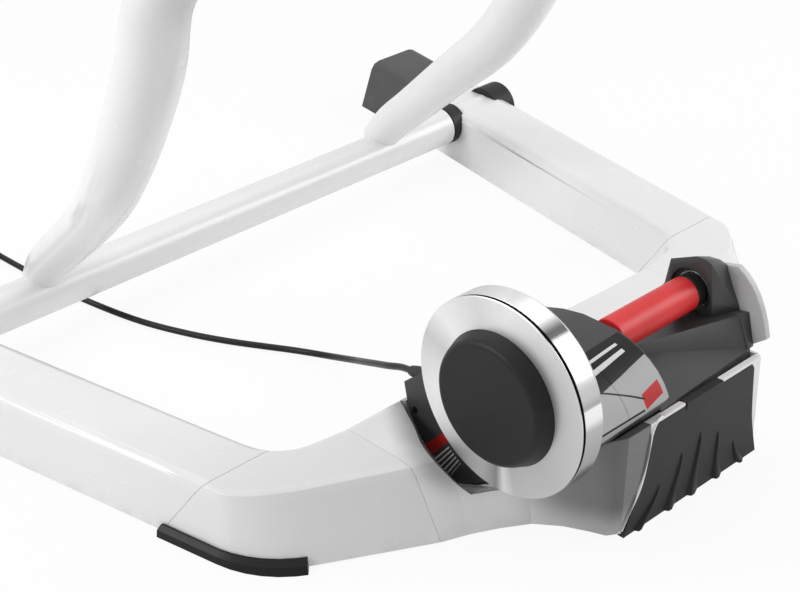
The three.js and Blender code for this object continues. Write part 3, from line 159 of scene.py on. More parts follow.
class Finish:
    # a material; the Principled shader's own sockets are set by words in constants
    def __init__(self, name, **constants):
        self.material = bpy.data.materials.new(name)
        self.material.use_nodes = True
        self.tree = self.material.node_tree
        self.shader = self.tree.nodes["Principled BSDF"]
        for socket, value in constants.items():
            self.put(socket, value)
        self.place = self.add("ShaderNodeTexCoord", {}, {}, "Object")

    def add(self, kind, settings, sockets, output=0):
        made = self.tree.nodes.new(kind)
        for key, value in settings.items():
            if key == "stops":
                for stop, (spot, colour) in zip(made.color_ramp.elements, value):
                    stop.position, stop.color = spot, colour
                for spot, colour in value[2:]:
                    made.color_ramp.elements.new(spot).color = colour
            else:
                setattr(made, key, value)
        for key, value in sockets.items():
            self.feed(made.inputs[key], value)
        return Signal(self, made.outputs[output])

    def feed(self, socket, value):
        if isinstance(value, Signal):
            self.tree.links.new(value.socket, socket)
        else:
            socket.default_value = value

    def put(self, socket, value):
        self.feed(self.shader.inputs[socket.replace("_", " ")], value)

    def split(self):
        apart = self.tree.nodes.new("ShaderNodeSeparateXYZ")
        self.feed(apart.inputs[0], self.place)
        return [Signal(self, out) for out in apart.outputs]

    def join(self, x, y, z):
        return self.add("ShaderNodeCombineXYZ", {}, {0: x, 1: y, 2: z})

    def noise(self, scale, detail=3.0, roughness=0.5, vector=None):
        return self.add("ShaderNodeTexNoise", {}, {"Vector": vector or self.place, "Scale": scale,
                                                   "Detail": detail, "Roughness": roughness})

    def cells(self, scale):
        return self.add("ShaderNodeTexVoronoi", {}, {"Vector": self.place, "Scale": scale})

    def rise(self, value, low, high, start=0.0, end=1.0):
        return self.add("ShaderNodeMapRange", {"interpolation_type": "SMOOTHSTEP"},
                        {0: value, 1: low, 2: high, 3: start, 4: end})

    def blend(self, share, first, second):
        return self.add("ShaderNodeMix", {"data_type": "RGBA"}, {0: share, 6: first, 7: second}, 2)

    def wholeTurn(self, turn):
        # a turn in radians as 0 to 1, from straight ahead over the top
        full = turn / math.tau + 1.0
        return full.maths("FRACT", full)

    def paintedReflectionFans(self, turn, *rows):
        # painted reflection: brightness by the turn round the roller line, rows of (degrees, level) with 0
        # and 360 first
        return self.add("ShaderNodeValToRGB", {"stops": [(spot / 360, grey(level)) for spot, level in rows]},
                        {0: self.wholeTurn(turn)})

    def bump(self, height, strength, distance):
        return self.add("ShaderNodeBump", {}, {"Height": height, "Strength": strength, "Distance": distance})

    def aroundRoller(self):
        # distance from the roller line, the turn about it and the place along it
        x, y, z = self.split()
        out, up = y - rollerY, z - rollerZ
        reach = (out * out + up * up) ** 0.5
        return reach, out.maths("ARCTAN2", up, out), x


# white paint's colours; the darkest one is painted shade for the saddle
paintLook = {"light": grey(0.84), "shade": grey(0.81), "dust": (0.60, 0.59, 0.57, 1), "paintedShade": grey(0.09)}
# painted shade on the saddle, in metres: down its rear flank to the bright rim, and round the scoop beside
# the drum
flankShade = {"rimRise": 11.5, "rimPower": 2.2, "rimSweep": -0.0335, "rimTop": -0.0515, "rimEdge": 0.0004,
             "along": (-0.140, -0.088), "back": (-0.27, -0.32), "height": (0.0, 0.03), "footShare": 0.5,
             "deep": (-0.094, -0.085), "deepShare": 0.1}
scoopShade = {"reach": 0.141, "along": -0.126, "tilt": (0.6, 0.8), "fade": (0.034, 0.010),
             "height": (0.024, 0.050), "face": (-0.118, -0.124), "share": 0.62}
ragged = 0.01


def paintedShadeOnSaddle(paint, colour, cloud, shadeShare):
    # painted shade: darkens the saddle's rear flank up to the bright rim, and the scoop round the drum
    x, y, z = paint.split()
    climb = 1.0 - z * flankShade["rimRise"]
    rim = climb.maths("MAXIMUM", climb) ** flankShade["rimPower"]
    rim = rim * flankShade["rimSweep"] + flankShade["rimTop"]
    flank = paint.rise(x + cloud * ragged, *flankShade["along"])
    flank = flank * paint.rise(x - rim, flankShade["rimEdge"], -flankShade["rimEdge"])
    flank = flank * paint.rise(y, *flankShade["back"])
    flank = flank * paint.rise(z, *flankShade["height"], flankShade["footShare"])
    flank = flank * (shadeShare + paint.rise(x, *flankShade["deep"]) * flankShade["deepShare"])
    # painted shade down the flank
    colour = paint.blend(flank, colour, paintLook["paintedShade"])
    # painted shade in the scoop round the drum
    reach, turn, along = paint.aroundRoller()
    out, left = scoopShade["tilt"]
    outside = (reach - scoopShade["reach"]) * out - (along - scoopShade["along"]) * left
    bowl = paint.rise(outside + cloud * ragged, *scoopShade["fade"])
    bowl = bowl * paint.rise(z, *scoopShade["height"]) * paint.rise(along, *scoopShade["face"])
    return paint.blend(bowl * scoopShade["share"], colour, paintLook["paintedShade"])


def makePaint(name, roughness, peel, coat, shadeShare=0.0):
    # gloss white over steel or plastic: slight orange peel, handling marks, floor dust low down, and, when
    # given a share, painted shade on the saddle's flank and beside the drum
    paint = Finish(name, Coat_Weight=coat, Coat_Roughness=0.22)
    cloud = paint.noise(9.0, 4.0)
    x, y, z = paint.split()
    colour = paint.blend(paint.rise(cloud, 0.35, 0.65), paintLook["shade"], paintLook["light"])
    dust = paint.rise(z, 0.016, 0.001) * paint.rise(paint.noise(60.0, 5.0), 0.42, 0.7) * 0.35
    colour = paint.blend(dust, colour, paintLook["dust"])
    if shadeShare:
        colour = paintedShadeOnSaddle(paint, colour, cloud, shadeShare)
    paint.put("Base Color", colour)
    marks = paint.rise(paint.noise(38.0, 6.0, 0.7), 0.55, 0.75)
    paint.put("Roughness", roughness + marks * 0.10 + dust * 0.4)
    fine = paint.noise(420.0, 2.0)
    paint.put("Normal", paint.bump(fine, peel, 0.0002))
    return paint


def makePlastic(name, dark, light, roughness, grain, grainSize=1400.0, **constants):
    # moulded plastic: spark-eroded grain, faint flow clouds, paler rubbed patches
    plastic = Finish(name, **constants)
    cloud = plastic.noise(14.0, 4.0)
    fine = plastic.cells(grainSize)
    speck = plastic.noise(grainSize * 0.7, 2.0)
    colour = plastic.blend(plastic.rise(cloud, 0.3, 0.7), dark, light)
    rubbed = plastic.rise(plastic.noise(45.0, 6.0, 0.65), 0.58, 0.8)
    plastic.put("Base Color", plastic.blend(rubbed * 0.25, colour, scaled(light, 1.6)))
    plastic.put("Roughness", roughness + speck * 0.12 - rubbed * 0.08)
    plastic.put("Normal", plastic.bump(fine, grain, 0.0003))
    return plastic


def makeSteel(name, colour, roughness, lines, alongX=False):
    # turned or drawn steel: fine tool lines, faint stains
    steel = Finish(name, Metallic=1.0)
    reach, turn, x = steel.aroundRoller()
    stretch = (40.0, 1500.0, 30.0) if alongX else (900.0, 900.0, 0.6)
    stroke = steel.join(*(way * factor for way, factor in zip((x, reach, turn), stretch)))
    tool = steel.noise(1.0, 3.0, 0.6, stroke)
    stain = steel.rise(steel.noise(25.0, 5.0), 0.4, 0.75)
    steel.put("Base Color", steel.blend(stain * 0.35, colour, scaled(colour, 0.8)))
    steel.put("Roughness", roughness + tool * 0.10 + stain * 0.06)
    steel.put("Normal", steel.bump(tool, lines, 0.0001))
    return steel


# places on the flywheel along the roller line, in metres: the face's edge and the groove behind it
flywheelLook = {"faceEdge": -0.1545, "groove": (-0.1540, -0.1511), "grooveTop": 0.0804}


def makeFlywheelSteel():
    # turned face and rim with painted reflections in fans of light and dark round the turn, and the groove
    # between them coloured near black
    steel = Finish("flywheelSteel", Metallic=1.0)
    reach, turn, x = steel.aroundRoller()
    tool = steel.noise(1.0, 3.0, 0.65, steel.join(x * 1500.0, reach * 1500.0, turn * 0.5))
    # the face's and the rim's fans are painted reflections of the studio
    face = steel.paintedReflectionFans(turn, (0, 0.84), (360, 0.84), (18, 0.66), (38, 0.90), (70, 0.72), (95, 0.88),
                      (135, 0.74), (180, 0.64), (222, 0.56), (256, 0.60), (264, 0.92), (270, 0.34),
                      (282, 0.62), (318, 0.74), (345, 0.90))
    rim = steel.paintedReflectionFans(turn, (0, 0.8), (360, 0.8), (55, 0.70), (84, 0.95), (112, 0.92), (119, 0.14),
                     (123, 0.16), (124.5, 0.95), (134, 0.90), (137, 0.72), (158, 0.66), (163, 0.38),
                     (164.5, 0.95), (171, 0.92), (176, 0.50), (200, 0.36), (228, 0.16), (262, 0.30),
                     (300, 0.7))
    onFace = x < flywheelLook["faceEdge"]
    colour = steel.blend(onFace, rim, face)
    left, right = flywheelLook["groove"]
    groove = (reach < flywheelLook["grooveTop"]) * (x > left) * (x < right)
    steel.put("Base Color", steel.blend(groove, steel.blend(tool * 0.10, colour, grey(0.40)), grey(0.01)))
    steel.put("Roughness", 0.22 + onFace * 0.14 + tool * 0.08 + groove * 0.3)
    steel.put("Metallic", 1.0 - groove)
    steel.put("Normal", steel.bump(tool, 0.06, 0.0001))
    return steel


whitePaint = makePaint("whitePaint", 0.24, 0.05, 0.35)
# the white plastic carries painted shade on the saddle's flank and beside the drum
whitePlastic = makePaint("whitePlastic", 0.22, 0.08, 0.3, 0.85)
blackPlastic = makePlastic("blackPlastic", grey(0.0088), grey(0.0135), 0.42, 0.25, Specular_IOR_Level=0.35)
blackRubber = makePlastic("blackRubber", grey(0.011), grey(0.020), 0.62, 0.35, 700.0)
endPlastic = makePlastic("endPlastic", grey(0.050), grey(0.065), 0.42, 0.25)
footPlastic = makePlastic("footPlastic", grey(0.004), grey(0.006), 0.30, 0.05, Specular_IOR_Level=0.25)
capPlastic = makePlastic("capPlastic", grey(0.0070), grey(0.0100), 0.40, 0.12, 1800.0,
                         Specular_IOR_Level=0.28)
unitPlastic = makePlastic("unitPlastic", grey(0.046), grey(0.057), 0.36, 0.22)
coverPlastic = makePlastic("coverPlastic", grey(0.50), grey(0.56), 0.38, 0.2)
cablePlastic = makePlastic("cablePlastic", grey(0.005), grey(0.008), 0.26, 0.05, Specular_IOR_Level=0.3)
platedSteel = makeSteel("platedSteel", (0.62, 0.62, 0.63, 1), 0.22, 0.12)
castAlloy = makeSteel("castAlloy", (0.50, 0.50, 0.52, 1), 0.42, 0.2, True)
flywheelSteel = makeFlywheelSteel()


# print on the drum: turns in degrees round the roller line, places along it in metres
drumPrint = {"end": -0.0335, "leanFrom": -0.080, "lean": 120.0, "band": (142, 181), "field": (181, 209),
             "rules": [(157, 161), (167, 171)], "ruleRun": (-0.0865, -0.046),
             "reds": [(155, 174, -0.0945, -0.0885), (195, 202, -0.060, -0.038)],
             "slant": (186.5, 187.6), "slantLean": 3.0, "slantEnd": -0.058,
             "upright": (199, 200), "uprightEnd": -0.062}
# print on the drum's flank, and a dark disc of painted shade for a hole in it: turns in radians, distances
# from the roller line in metres
flankPrint = {"from": -0.1255, "reach": (0.112, 0.146), "hole": (-0.1841, 0.0534, 0.0032),
              "red": (-0.86, -0.79), "bars": (-1.02, -0.88), "barsFrom": 0.122, "barsPerRadian": 38.0,
              "barShare": 0.4}


def between(value, low, high):
    return (value > low) * (value < high)


def printOnDrum(drum, colour, look):
    # a dark band, a grey field crossed by thin dark lines, two rules and two red marks
    reach, turn, x = drum.aroundRoller()
    turned = drum.wholeTurn(turn) * 360.0
    lean = (x - drumPrint["leanFrom"]) * drumPrint["lean"]
    at = turned + lean
    printed = x < drumPrint["end"]
    onField = between(at, *drumPrint["field"])
    colour = drum.blend(between(at, *drumPrint["band"]) * printed, colour, look["band"])
    colour = drum.blend(onField * printed, colour, look["field"])
    upper, lower = (between(at, *turns) for turns in drumPrint["rules"])
    colour = drum.blend((upper + lower) * between(x, *drumPrint["ruleRun"]), colour, look["rule"])
    for low, high, left, right in drumPrint["reds"]:
        colour = drum.blend(between(at, low, high) * between(x, left, right), colour, look["red"])
    slant = turned - lean * drumPrint["slantLean"]
    slanted = between(slant, *drumPrint["slant"]) * (x < drumPrint["slantEnd"])
    upright = between(turned, *drumPrint["upright"]) * (x < drumPrint["uprightEnd"])
    return drum.blend((slanted + upright) * onField, colour, look["band"])


def printAndPaintedHoleOnFlank(drum, colour, look):
    # a small hole drawn as a dark disc of painted shade, a red patch and a row of short bars beside the
    # flywheel
    reach, turn, x = drum.aroundRoller()
    x, y, z = drum.split()
    holeY, holeZ, holeRadius = flankPrint["hole"]
    out, up = y - holeY, z - holeZ
    flank = x < flankPrint["from"]
    # the hole's dark disc is painted shade
    colour = drum.blend(((out * out + up * up) ** 0.5 < holeRadius) * flank, colour, look["band"])
    flank = flank * between(reach, *flankPrint["reach"])
    colour = drum.blend(flank * between(turn, *flankPrint["red"]), colour, look["red"])
    steps = turn * flankPrint["barsPerRadian"]
    bars = (steps.maths("FRACT", steps) < flankPrint["barShare"]) * (reach > flankPrint["barsFrom"])
    return drum.blend(flank * bars * between(turn, *flankPrint["bars"]), colour, look["rule"])


def makeDrumPlastic():
    # casing plastic with plain printed patches on the drum's rear and flank, and a painted-shade hole on the
    # flank
    look = {"band": grey(0.004), "field": grey(0.44), "rule": grey(0.75), "red": (0.50, 0.02, 0.02, 1)}
    drum = makePlastic("drumPlastic", grey(0.056), grey(0.066), 0.36, 0.2, Specular_IOR_Level=0.25)
    plain = Signal(drum, drum.shader.inputs["Base Color"].links[0].from_socket)
    drum.put("Base Color", printAndPaintedHoleOnFlank(drum, printOnDrum(drum, plain, look), look))
    return drum


drumPlastic = makeDrumPlastic()


def makeSleeve():
    # red polyurethane roller sleeve: a slightly clouded red with fine grinding lines
    look = {"dark": (0.66, 0.012, 0.014, 1), "light": (0.78, 0.020, 0.022, 1), "line": (0.45, 0.02, 0.02, 1)}
    red = Finish("sleeveRed", Coat_Weight=0.1, Coat_Roughness=0.3)
    reach, turn, x = red.aroundRoller()
    lines = red.noise(1.0, 3.0, 0.6, red.join(x * 1400.0, reach * 300.0, turn * 1.5))
    cloud = red.rise(red.noise(30.0, 5.0), 0.3, 0.7)
    colour = red.blend(cloud, look["dark"], look["light"])
    red.put("Base Color", red.blend(lines * 0.2, colour, look["line"]))
    red.put("Roughness", 0.38 + lines * 0.12)
    red.put("Normal", red.bump(lines, 0.12, 0.0001))
    return red


sleeveRed = makeSleeve()
print("finishes made")


# making and finishing meshes

def take(piece):
    bpy.ops.object.select_all(action="DESELECT")
    piece.select_set(True)
    bpy.context.view_layer.objects.active = piece


def edit(piece, *steps):
    # runs mesh operators on the whole piece in edit mode
    take(piece)
    bpy.ops.object.mode_set(mode="EDIT")
    for step in steps:
        bpy.ops.mesh.select_all(action="SELECT")
        step()
    bpy.ops.object.mode_set(mode="OBJECT")


def paintWith(piece, finish):
    piece.data.materials.clear()
    piece.data.materials.append(finish.material)


def soften(piece, width, segments=2, angle=30, smooth=38, flat=True):
    # rounds the sharp edges and shades the rest smooth
    take(piece)
    if width:
        bevel = piece.modifiers.new("edges", "BEVEL")
        bevel.width, bevel.segments = width, segments
        bevel.limit_method, bevel.angle_limit = "ANGLE", math.radians(angle)
        bevel.miter_outer = "MITER_ARC"
        bpy.ops.object.modifier_apply(modifier=bevel.name)
    bpy.ops.object.shade_smooth_by_angle(angle=math.radians(smooth), keep_sharp_edges=False)
    if flat:
        flats = piece.modifiers.new("flats", "WEIGHTED_NORMAL")
        flats.keep_sharp = True
        bpy.ops.object.modifier_apply(modifier=flats.name)


def cut(piece, cutter):
    take(piece)
    change = piece.modifiers.new("cut", "BOOLEAN")
    change.object, change.operation, change.solver = cutter, "DIFFERENCE", "EXACT"
    bpy.ops.object.modifier_apply(modifier=change.name)
    bpy.data.objects.remove(cutter)


def unite(piece, *parts):
    take(piece)
    for part in parts:
        part.select_set(True)
    bpy.ops.object.join()


def mount(piece, node, finish, *others):
    # the piece stands for the node and the others and rides on the node's body
    body = nodes[node]["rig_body"]
    paintWith(piece, finish)
    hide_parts(node, *others)
    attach(piece, body)


def shapeOf(node, name):
    # a merged copy of a node's mesh, with its flat faces made whole
    piece = nodes[node].copy()
    piece.data = nodes[node].data.copy()
    piece.name = piece.data.name = name
    scene.collection.objects.link(piece)
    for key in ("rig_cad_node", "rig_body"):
        if key in piece:
            del piece[key]
    piece.parent = None
    piece.matrix_world = Matrix.Identity(4)
    edit(piece, lambda: bpy.ops.mesh.remove_doubles(threshold=1e-5),
         lambda: bpy.ops.mesh.dissolve_limited(angle_limit=math.radians(0.4)))
    return piece


def spun(name, profile, steps, centre):
    # turns a profile of (x, radius) rows, in millimetres, about a line along X
    y, z = centre
    mesh = bpy.data.meshes.new(name)
    spots = [(x / 1000, y + r / 1000, z) for x, r in profile]
    mesh.from_pydata(spots, [(i, i + 1) for i in range(len(spots) - 1)], [])
    piece = bpy.data.objects.new(name, mesh)
    scene.collection.objects.link(piece)
    edit(piece, lambda: bpy.ops.mesh.spin(steps=steps, angle=math.tau, center=(0, y, z), axis=(1, 0, 0)),
         lambda: bpy.ops.mesh.remove_doubles(threshold=1e-5),
         lambda: bpy.ops.mesh.normals_make_consistent(inside=False))
    return piece


def tube(name, points, radii, sides):
    # a round tube along the points, closed at both ends
    path = bpy.data.curves.new(name, "CURVE")
    path.dimensions, path.bevel_depth, path.bevel_resolution = "3D", 1.0, sides // 4 - 1
    path.use_fill_caps = True
    line = path.splines.new("POLY")
    line.points.add(len(points) - 1)
    for spot, at, radius in zip(line.points, points, radii):
        spot.co, spot.radius = (*at, 1), radius
    piece = bpy.data.objects.new(name, path)
    scene.collection.objects.link(piece)
    take(piece)
    bpy.ops.object.convert(target="MESH")
    piece = bpy.context.object
    edit(piece, lambda: bpy.ops.mesh.remove_doubles(threshold=1e-6),
         lambda: bpy.ops.mesh.normals_make_consistent(inside=False))
    return piece


def roundBar(name, left, right, radius, centre):
    # a cylinder along X, in metres
    y, z = centre
    bpy.ops.object.select_all(action="DESELECT")
    bpy.ops.mesh.primitive_cylinder_add(vertices=96, radius=radius, depth=right - left,
                                        location=((left + right) / 2, y, z), rotation=(0, math.pi / 2, 0))
    piece = bpy.context.object
    piece.name = name
    bpy.ops.object.transform_apply(location=True, rotation=True, scale=True)
    return piece


def cube(size, centre, rotation=(0, 0, 0)):
    bpy.ops.object.select_all(action="DESELECT")
    bpy.ops.mesh.primitive_cube_add(size=size, location=centre, rotation=rotation)
    return bpy.context.object


# cable, in the CAD's millimetres: from the drum over the floor, under the cross tube, into its coil and on
# to the shifter
cable = {
    "radius": 3.0, "gland": (-117, 70, 83), "way": (0.22, 0.92, -0.32), "back": -8.7, "mouth": 14,
    "floor": [(-109.2, 100, 72.2), (-105.7, 118, 64), (-98.5, 140, 53), (-90.2, 163, 41), (-81.2, 185, 29),
              (-75.5, 208, 18.5), (-72.6, 230, 10), (-75.5, 250, 5.6), (-83, 270, 3.5), (-94.5, 290, 3.1),
              (-112.2, 320, 3.1), (-129.7, 356, 3.05), (-147.7, 406, 3.05), (-160.7, 474, 3.05),
              (-165, 520, 3.05), (-167.2, 560, 3.05), (-168.5, 599, 3.05), (-169, 632, 3.05),
              (-169, 646, 3.05)],
    "coil": (-206, 646), "outer": 37, "pitch": 6.7, "turns": 4.5, "climb": 0.4, "perTurn": 48,
    "leave": 0.6, "shifter": (-272, 589), "bore": 10, "ferrule": 8,
}


def cablePoints():
    gland, way = Vector(cable["gland"]), Vector(cable["way"]).normalized()
    run = smoothRun([gland + way * cable["back"], gland, gland + way * cable["mouth"], *cable["floor"]], 8)
    turns, half = cable["turns"], cable["turns"] / 2
    x, y = cable["coil"]
    coil = []
    for i in range(1, int(turns * cable["perTurn"])):
        turn = i / cable["perTurn"]
        radius = cable["outer"] - cable["pitch"] * (half - abs(turn - half))
        step = min(1, max(0, (turn - half) / cable["climb"] + 0.5))
        height = cable["radius"] + step * step * (3 - 2 * step) * cable["pitch"]
        angle = turn * math.tau
        coil.append(Vector((x + radius * math.cos(angle), y + radius * math.sin(angle), height)))
    high, bore, ferrule = cable["radius"] + cable["pitch"], cable["bore"], cable["ferrule"]
    leaveX, leaveY = x - cable["outer"], y - cable["leave"]
    shifterX, shifterY = cable["shifter"]
    tail = smoothRun([(leaveX, leaveY, high), (leaveX, leaveY - ferrule, high),
                      (shifterX, shifterY + 2 * ferrule, bore), (shifterX, shifterY + ferrule, bore),
                      (shifterX, shifterY, bore)], 6)
    spots = [*run, *coil, *tail]
    return [Vector((p.x, p.y + floorShift * 1000, p.z)) / 1000 for p in spots]


cableRun = cablePoints()
controlCable = tube("controlCable", cableRun, [cable["radius"] / 1000] * len(cableRun), 16)
soften(controlCable, 0)
mount(controlCable, "cable_run", cablePlastic, "cable_coil", "cable_tail")


# rigid pieces whose shape the frame already has: merged copies with soft edges, as rows of node, name,
# finish and the edge's width in metres
dressed = [
    ("right_leg", "rightLeg", whitePaint, 0), ("left_leg", "leftLeg", whitePaint, 0),
    ("right_corner_shell", "rightCorner", whitePlastic, 0.0008),
    ("left_corner_shell", "leftCorner", whitePlastic, 0.0008),
    ("right_front_cap", "rightFrontCap", endPlastic, 0.0012),
    ("left_front_cap", "leftFrontCap", endPlastic, 0.0012),
    ("right_corner_foot", "rightCornerFoot", footPlastic, 0.0009),
    ("left_corner_foot", "leftCornerFoot", footPlastic, 0.0009),
    ("drum_housing", "drumHousing", drumPlastic, 0.0005), ("drum_cover", "drumCover", drumPlastic, 0.0005),
    ("lower_casing", "lowerCasing", unitPlastic, 0.0006), ("bearing_arm", "bearingArm", unitPlastic, 0.0006),
    ("side_cover", "sideCover", coverPlastic, 0.0008),
    ("magnet_carriage", "magnetCarriage", platedSteel, 0.0003),
    ("left_bearing", "leftBearing", platedSteel, 0.0002),
    ("right_bearing", "rightBearing", platedSteel, 0.0002),
    ("right_pivot_bush", "rightPivotBush", blackPlastic, 0.0004),
    ("left_pivot_bush", "leftPivotBush", blackPlastic, 0.0004),
    ("right_pivot_cap", "rightPivotCap", blackPlastic, 0.0006),
    ("left_pivot_cap", "leftPivotCap", blackPlastic, 0.0006),
    ("right_clamp_barrel", "rightClampBarrel", whitePaint, 0.0004),
    ("left_clamp_barrel", "leftClampBarrel", whitePaint, 0.0004),
    ("plunger_cup", "plungerCup", platedSteel, 0.0004), ("lever_pin", "leverPin", platedSteel, 0.0003),
    ("clamp_lever", "clampLever", blackPlastic, 0.0010),
    ("adjuster_cup", "adjusterCup", platedSteel, 0.0004),
    ("adjuster_screw", "adjusterScrew", platedSteel, 0.0002),
    ("adjuster_knob", "adjusterKnob", blackPlastic, 0.0008),
    ("cable_gland", "cableGland", blackRubber, 0.0003),
    ("shifter_body", "shifterBody", unitPlastic, 0.0006),
    ("shifter_lever", "shifterLever", blackPlastic, 0.0006),
    ("shifter_band", "shifterBand", blackRubber, 0.0005),
]
# a white boss on each leg, in millimetres, covers the bush sleeve where it comes level with the leg's top
boss = {"inner": 309.4, "outer": 366.4, "bore": 16.1, "radius": 16.9}
legSides = {"right_leg": 1, "left_leg": -1}
# these two are shaded without weighted normals
unweighted = ("lower_casing", "bearing_arm")


def pivotBoss(side):
    near, far = sorted((side * boss["inner"], side * boss["outer"]))
    ring = [(near, boss["bore"]), (near, boss["radius"]), (far, boss["radius"]), (far, boss["bore"]),
            (near, boss["bore"])]
    made = spun("boss", ring, 96, pivotLine)
    soften(made, 0.0002)
    return made


for node, name, finish, width in dressed:
    piece = shapeOf(node, name)
    soften(piece, width, flat=node not in unweighted)
    for vertex in piece.data.vertices:
        # no rounded corner dips into the floor
        vertex.co.z = max(0, vertex.co.z)
    if node in legSides:
        unite(piece, pivotBoss(legSides[node]))
    mount(piece, node, finish)
print("frame dressed")


def lofted(name, rings):
    # closed rings of the same number of points, skinned one to the next and capped
    count = len(rings[0])
    mesh = bpy.data.meshes.new(name)
    last = count * (len(rings) - 1)
    pairs = [(j, (j + 1) % count) for j in range(count)]
    faces = [(i + j, i + k, i + count + k, i + count + j) for i in range(0, last, count) for j, k in pairs]
    ends = [tuple(range(count)), tuple(range(last, last + count))]
    mesh.from_pydata([tuple(v / 1000 for v in spot) for ring in rings for spot in ring], [], faces + ends)
    piece = bpy.data.objects.new(name, mesh)
    scene.collection.objects.link(piece)
    edit(piece, lambda: bpy.ops.mesh.normals_make_consistent(inside=False))
    return piece


# rear panel, in millimetres: a plate that flares at its foot, with a tab on top and pointed ridges sweeping
# down it; rows are height, reach left and right and flare, ridges are head, height, foot and width
panel = {"seat": -361.0, "face": -364.25, "tab": (-8.8, 38.2, 90.2), "tabFront": -357.8, "tabFoot": 83.5,
         "tabProud": 0.5, "tabCorner": 0.6,
         "rows": [(0, 81, 90.2, 3.0), (14.4, 72.2, 88.2, 1.26), (36, 58.1, 84.3, 0.3), (70.2, 50.2, 81.3, 0),
                  (80, 48.6, 80.6, 0), (83.7, 47.5, 79.9, 0), (86.4, 44.5, 78, 0), (87.3, 42.2, 77.4, 0)],
         "ridges": [(-36.4, 29.2, -66, 8), (-9.8, 45, -28.5, 9.5), (13.5, 53.3, 0.5, 10), (37.5, 43, 33.5, 9),
                    (59.6, 24, 65.5, 7)]}
# how a ridge grows from its head to its foot
ridge = {"steps": 16, "sweep": 1.7, "floor": 0.35, "flare": 3.0, "flareTop": 24, "thin": 0.4, "widen": 1.3,
         "widenPower": 0.9, "low": 0.1, "proud": 3.2, "proudPower": 0.5, "left": 0.2, "crest": 0.3,
         "sunk": 0.6}


def panelPlate():
    seat, rings = panel["seat"], []
    for z, left, right, out in smoothRun4(panel["rows"], 5):
        back = panel["face"] - out
        rings.append([(-left, seat, z), (right, seat, z), (right, back, z), (-left, back, z)])
    return lofted("rearPanel", rings)


def panelTab():
    low, high, top = panel["tab"]
    front, back = panel["tabFront"], panel["face"] - panel["tabProud"]
    foot, corner = panel["tabFoot"], panel["tabCorner"]
    heights = ((low, top - corner), (low + corner, top), (high - corner, top), (high, top - corner))
    return lofted("tab", [[(x, front, z), (x, back, z), (x, back, foot), (x, panel["seat"], foot)]
                          for x, z in heights])


def panelRidge(head, height, foot, width):
    rings = []
    for k in range(ridge["steps"] + 1):
        t = k / ridge["steps"]
        x, z = head + (foot - head) * t ** ridge["sweep"], height * (1 - t) + ridge["floor"] * t
        face = panel["face"] - ridge["flare"] * max(0, 1 - z / ridge["flareTop"]) ** 2
        wide = ridge["thin"] + width * ridge["widen"] * t ** ridge["widenPower"]
        seat, back = face + ridge["sunk"], face - (ridge["low"] + ridge["proud"] * t ** ridge["proudPower"])
        rings.append([(x - ridge["left"] * wide, seat, z), (x, back, z), (x + ridge["crest"] * wide, back, z),
                      (x + wide, seat, z)])
    return lofted("ridge", rings)


rearPanel, tab = panelPlate(), panelTab()
ridges = [panelRidge(*row) for row in panel["ridges"]]
soften(rearPanel, 0.0009, 3, 40)
for piece in ridges:
    soften(piece, 0.0004, 2, 25, 50)
soften(tab, 0.0004)
unite(rearPanel, tab, *ridges)
mount(rearPanel, "rear_panel", blackPlastic)

# saddle, with a bright bead that runs up beside the panel and over its corner, in millimetres
saddle = shapeOf("saddle_shell", "saddle")
soften(saddle, 0.0006)
beadLook = {"radius": 1.7, "beside": 1.9, "back": -363.4, "foot": 2.5,
            "over": [(-47.6, -363.2, 86.0), (-42.5, -362.2, 88.6), (-36, -361.6, 89.0)]}


def panelBead():
    beside, back, foot = (beadLook[key] for key in ("beside", "back", "foot"))
    rows = smoothRun4(panel["rows"][:5], 6)
    side = [(-left - beside, back, z) for z, left, right, out in rows if z > foot]
    spots = smoothRun([*side, *beadLook["over"]], 2)
    made = tube("bead", [spot / 1000 for spot in spots], [beadLook["radius"] / 1000] * len(spots), 16)
    soften(made, 0)
    return made


# the wing beside the drum is scooped out, so the drum's flank shows next to the flywheel; its profile and the
# wing's rings are in millimetres, the rest is in metres
scoop = {"centre": (-0.2846, 0.131), "face": -0.1262, "pocket": (-0.1595, -0.120, 0.0855),
         "sill": (-0.126, -0.233, 0.006), "slope": (0.21, 0.39, 0.895), "sillCube": 0.6, "faceCube": 0.3,
         "faceSpot": (-0.22, 0.1),
         "profile": [(-126.2, 141), (-137, 124), (-149, 107), (-160, 95), (-168, 84.5), (-180, 70)],
         "wing": [
             [(-186.7, -272.2, 2.5), (-186.7, -244.2, 49.1), (-186.7, -239.3, 54.1), (-186.7, -232.5, 55.7),
              (-186.7, -174.5, 55.7), (-186.7, -168.6, 53.8), (-186.7, -166.1, 48), (-186.7, -161.4, 2.5)],
             [(-163, -281.3, 2.5), (-161.2, -256, 50.1), (-160.9, -251.5, 55), (-160.6, -245, 56.6),
              (-157.2, -174.3, 55.8), (-157, -168.5, 53.9), (-156.9, -166.1, 48.3), (-156.9, -161.3, 2.5)],
             [(-141.2, -292.1, 2.5), (-136.9, -270.1, 52.4), (-136.3, -266.1, 57), (-135.9, -260.1, 58.4),
              (-131.1, -173.8, 55.9), (-130.9, -168.4, 54), (-130.8, -166.1, 48.8), (-130.8, -161.3, 2.5)],
             [(-119.5, -305.6, 2.5), (-114.2, -290.8, 58.5), (-113.6, -288, 62.4), (-113.1, -283.3, 63.5),
              (-105.1, -172.6, 56.2), (-104.8, -168.1, 54.4), (-104.6, -166.3, 50), (-104.6, -161.3, 2.5)]]}


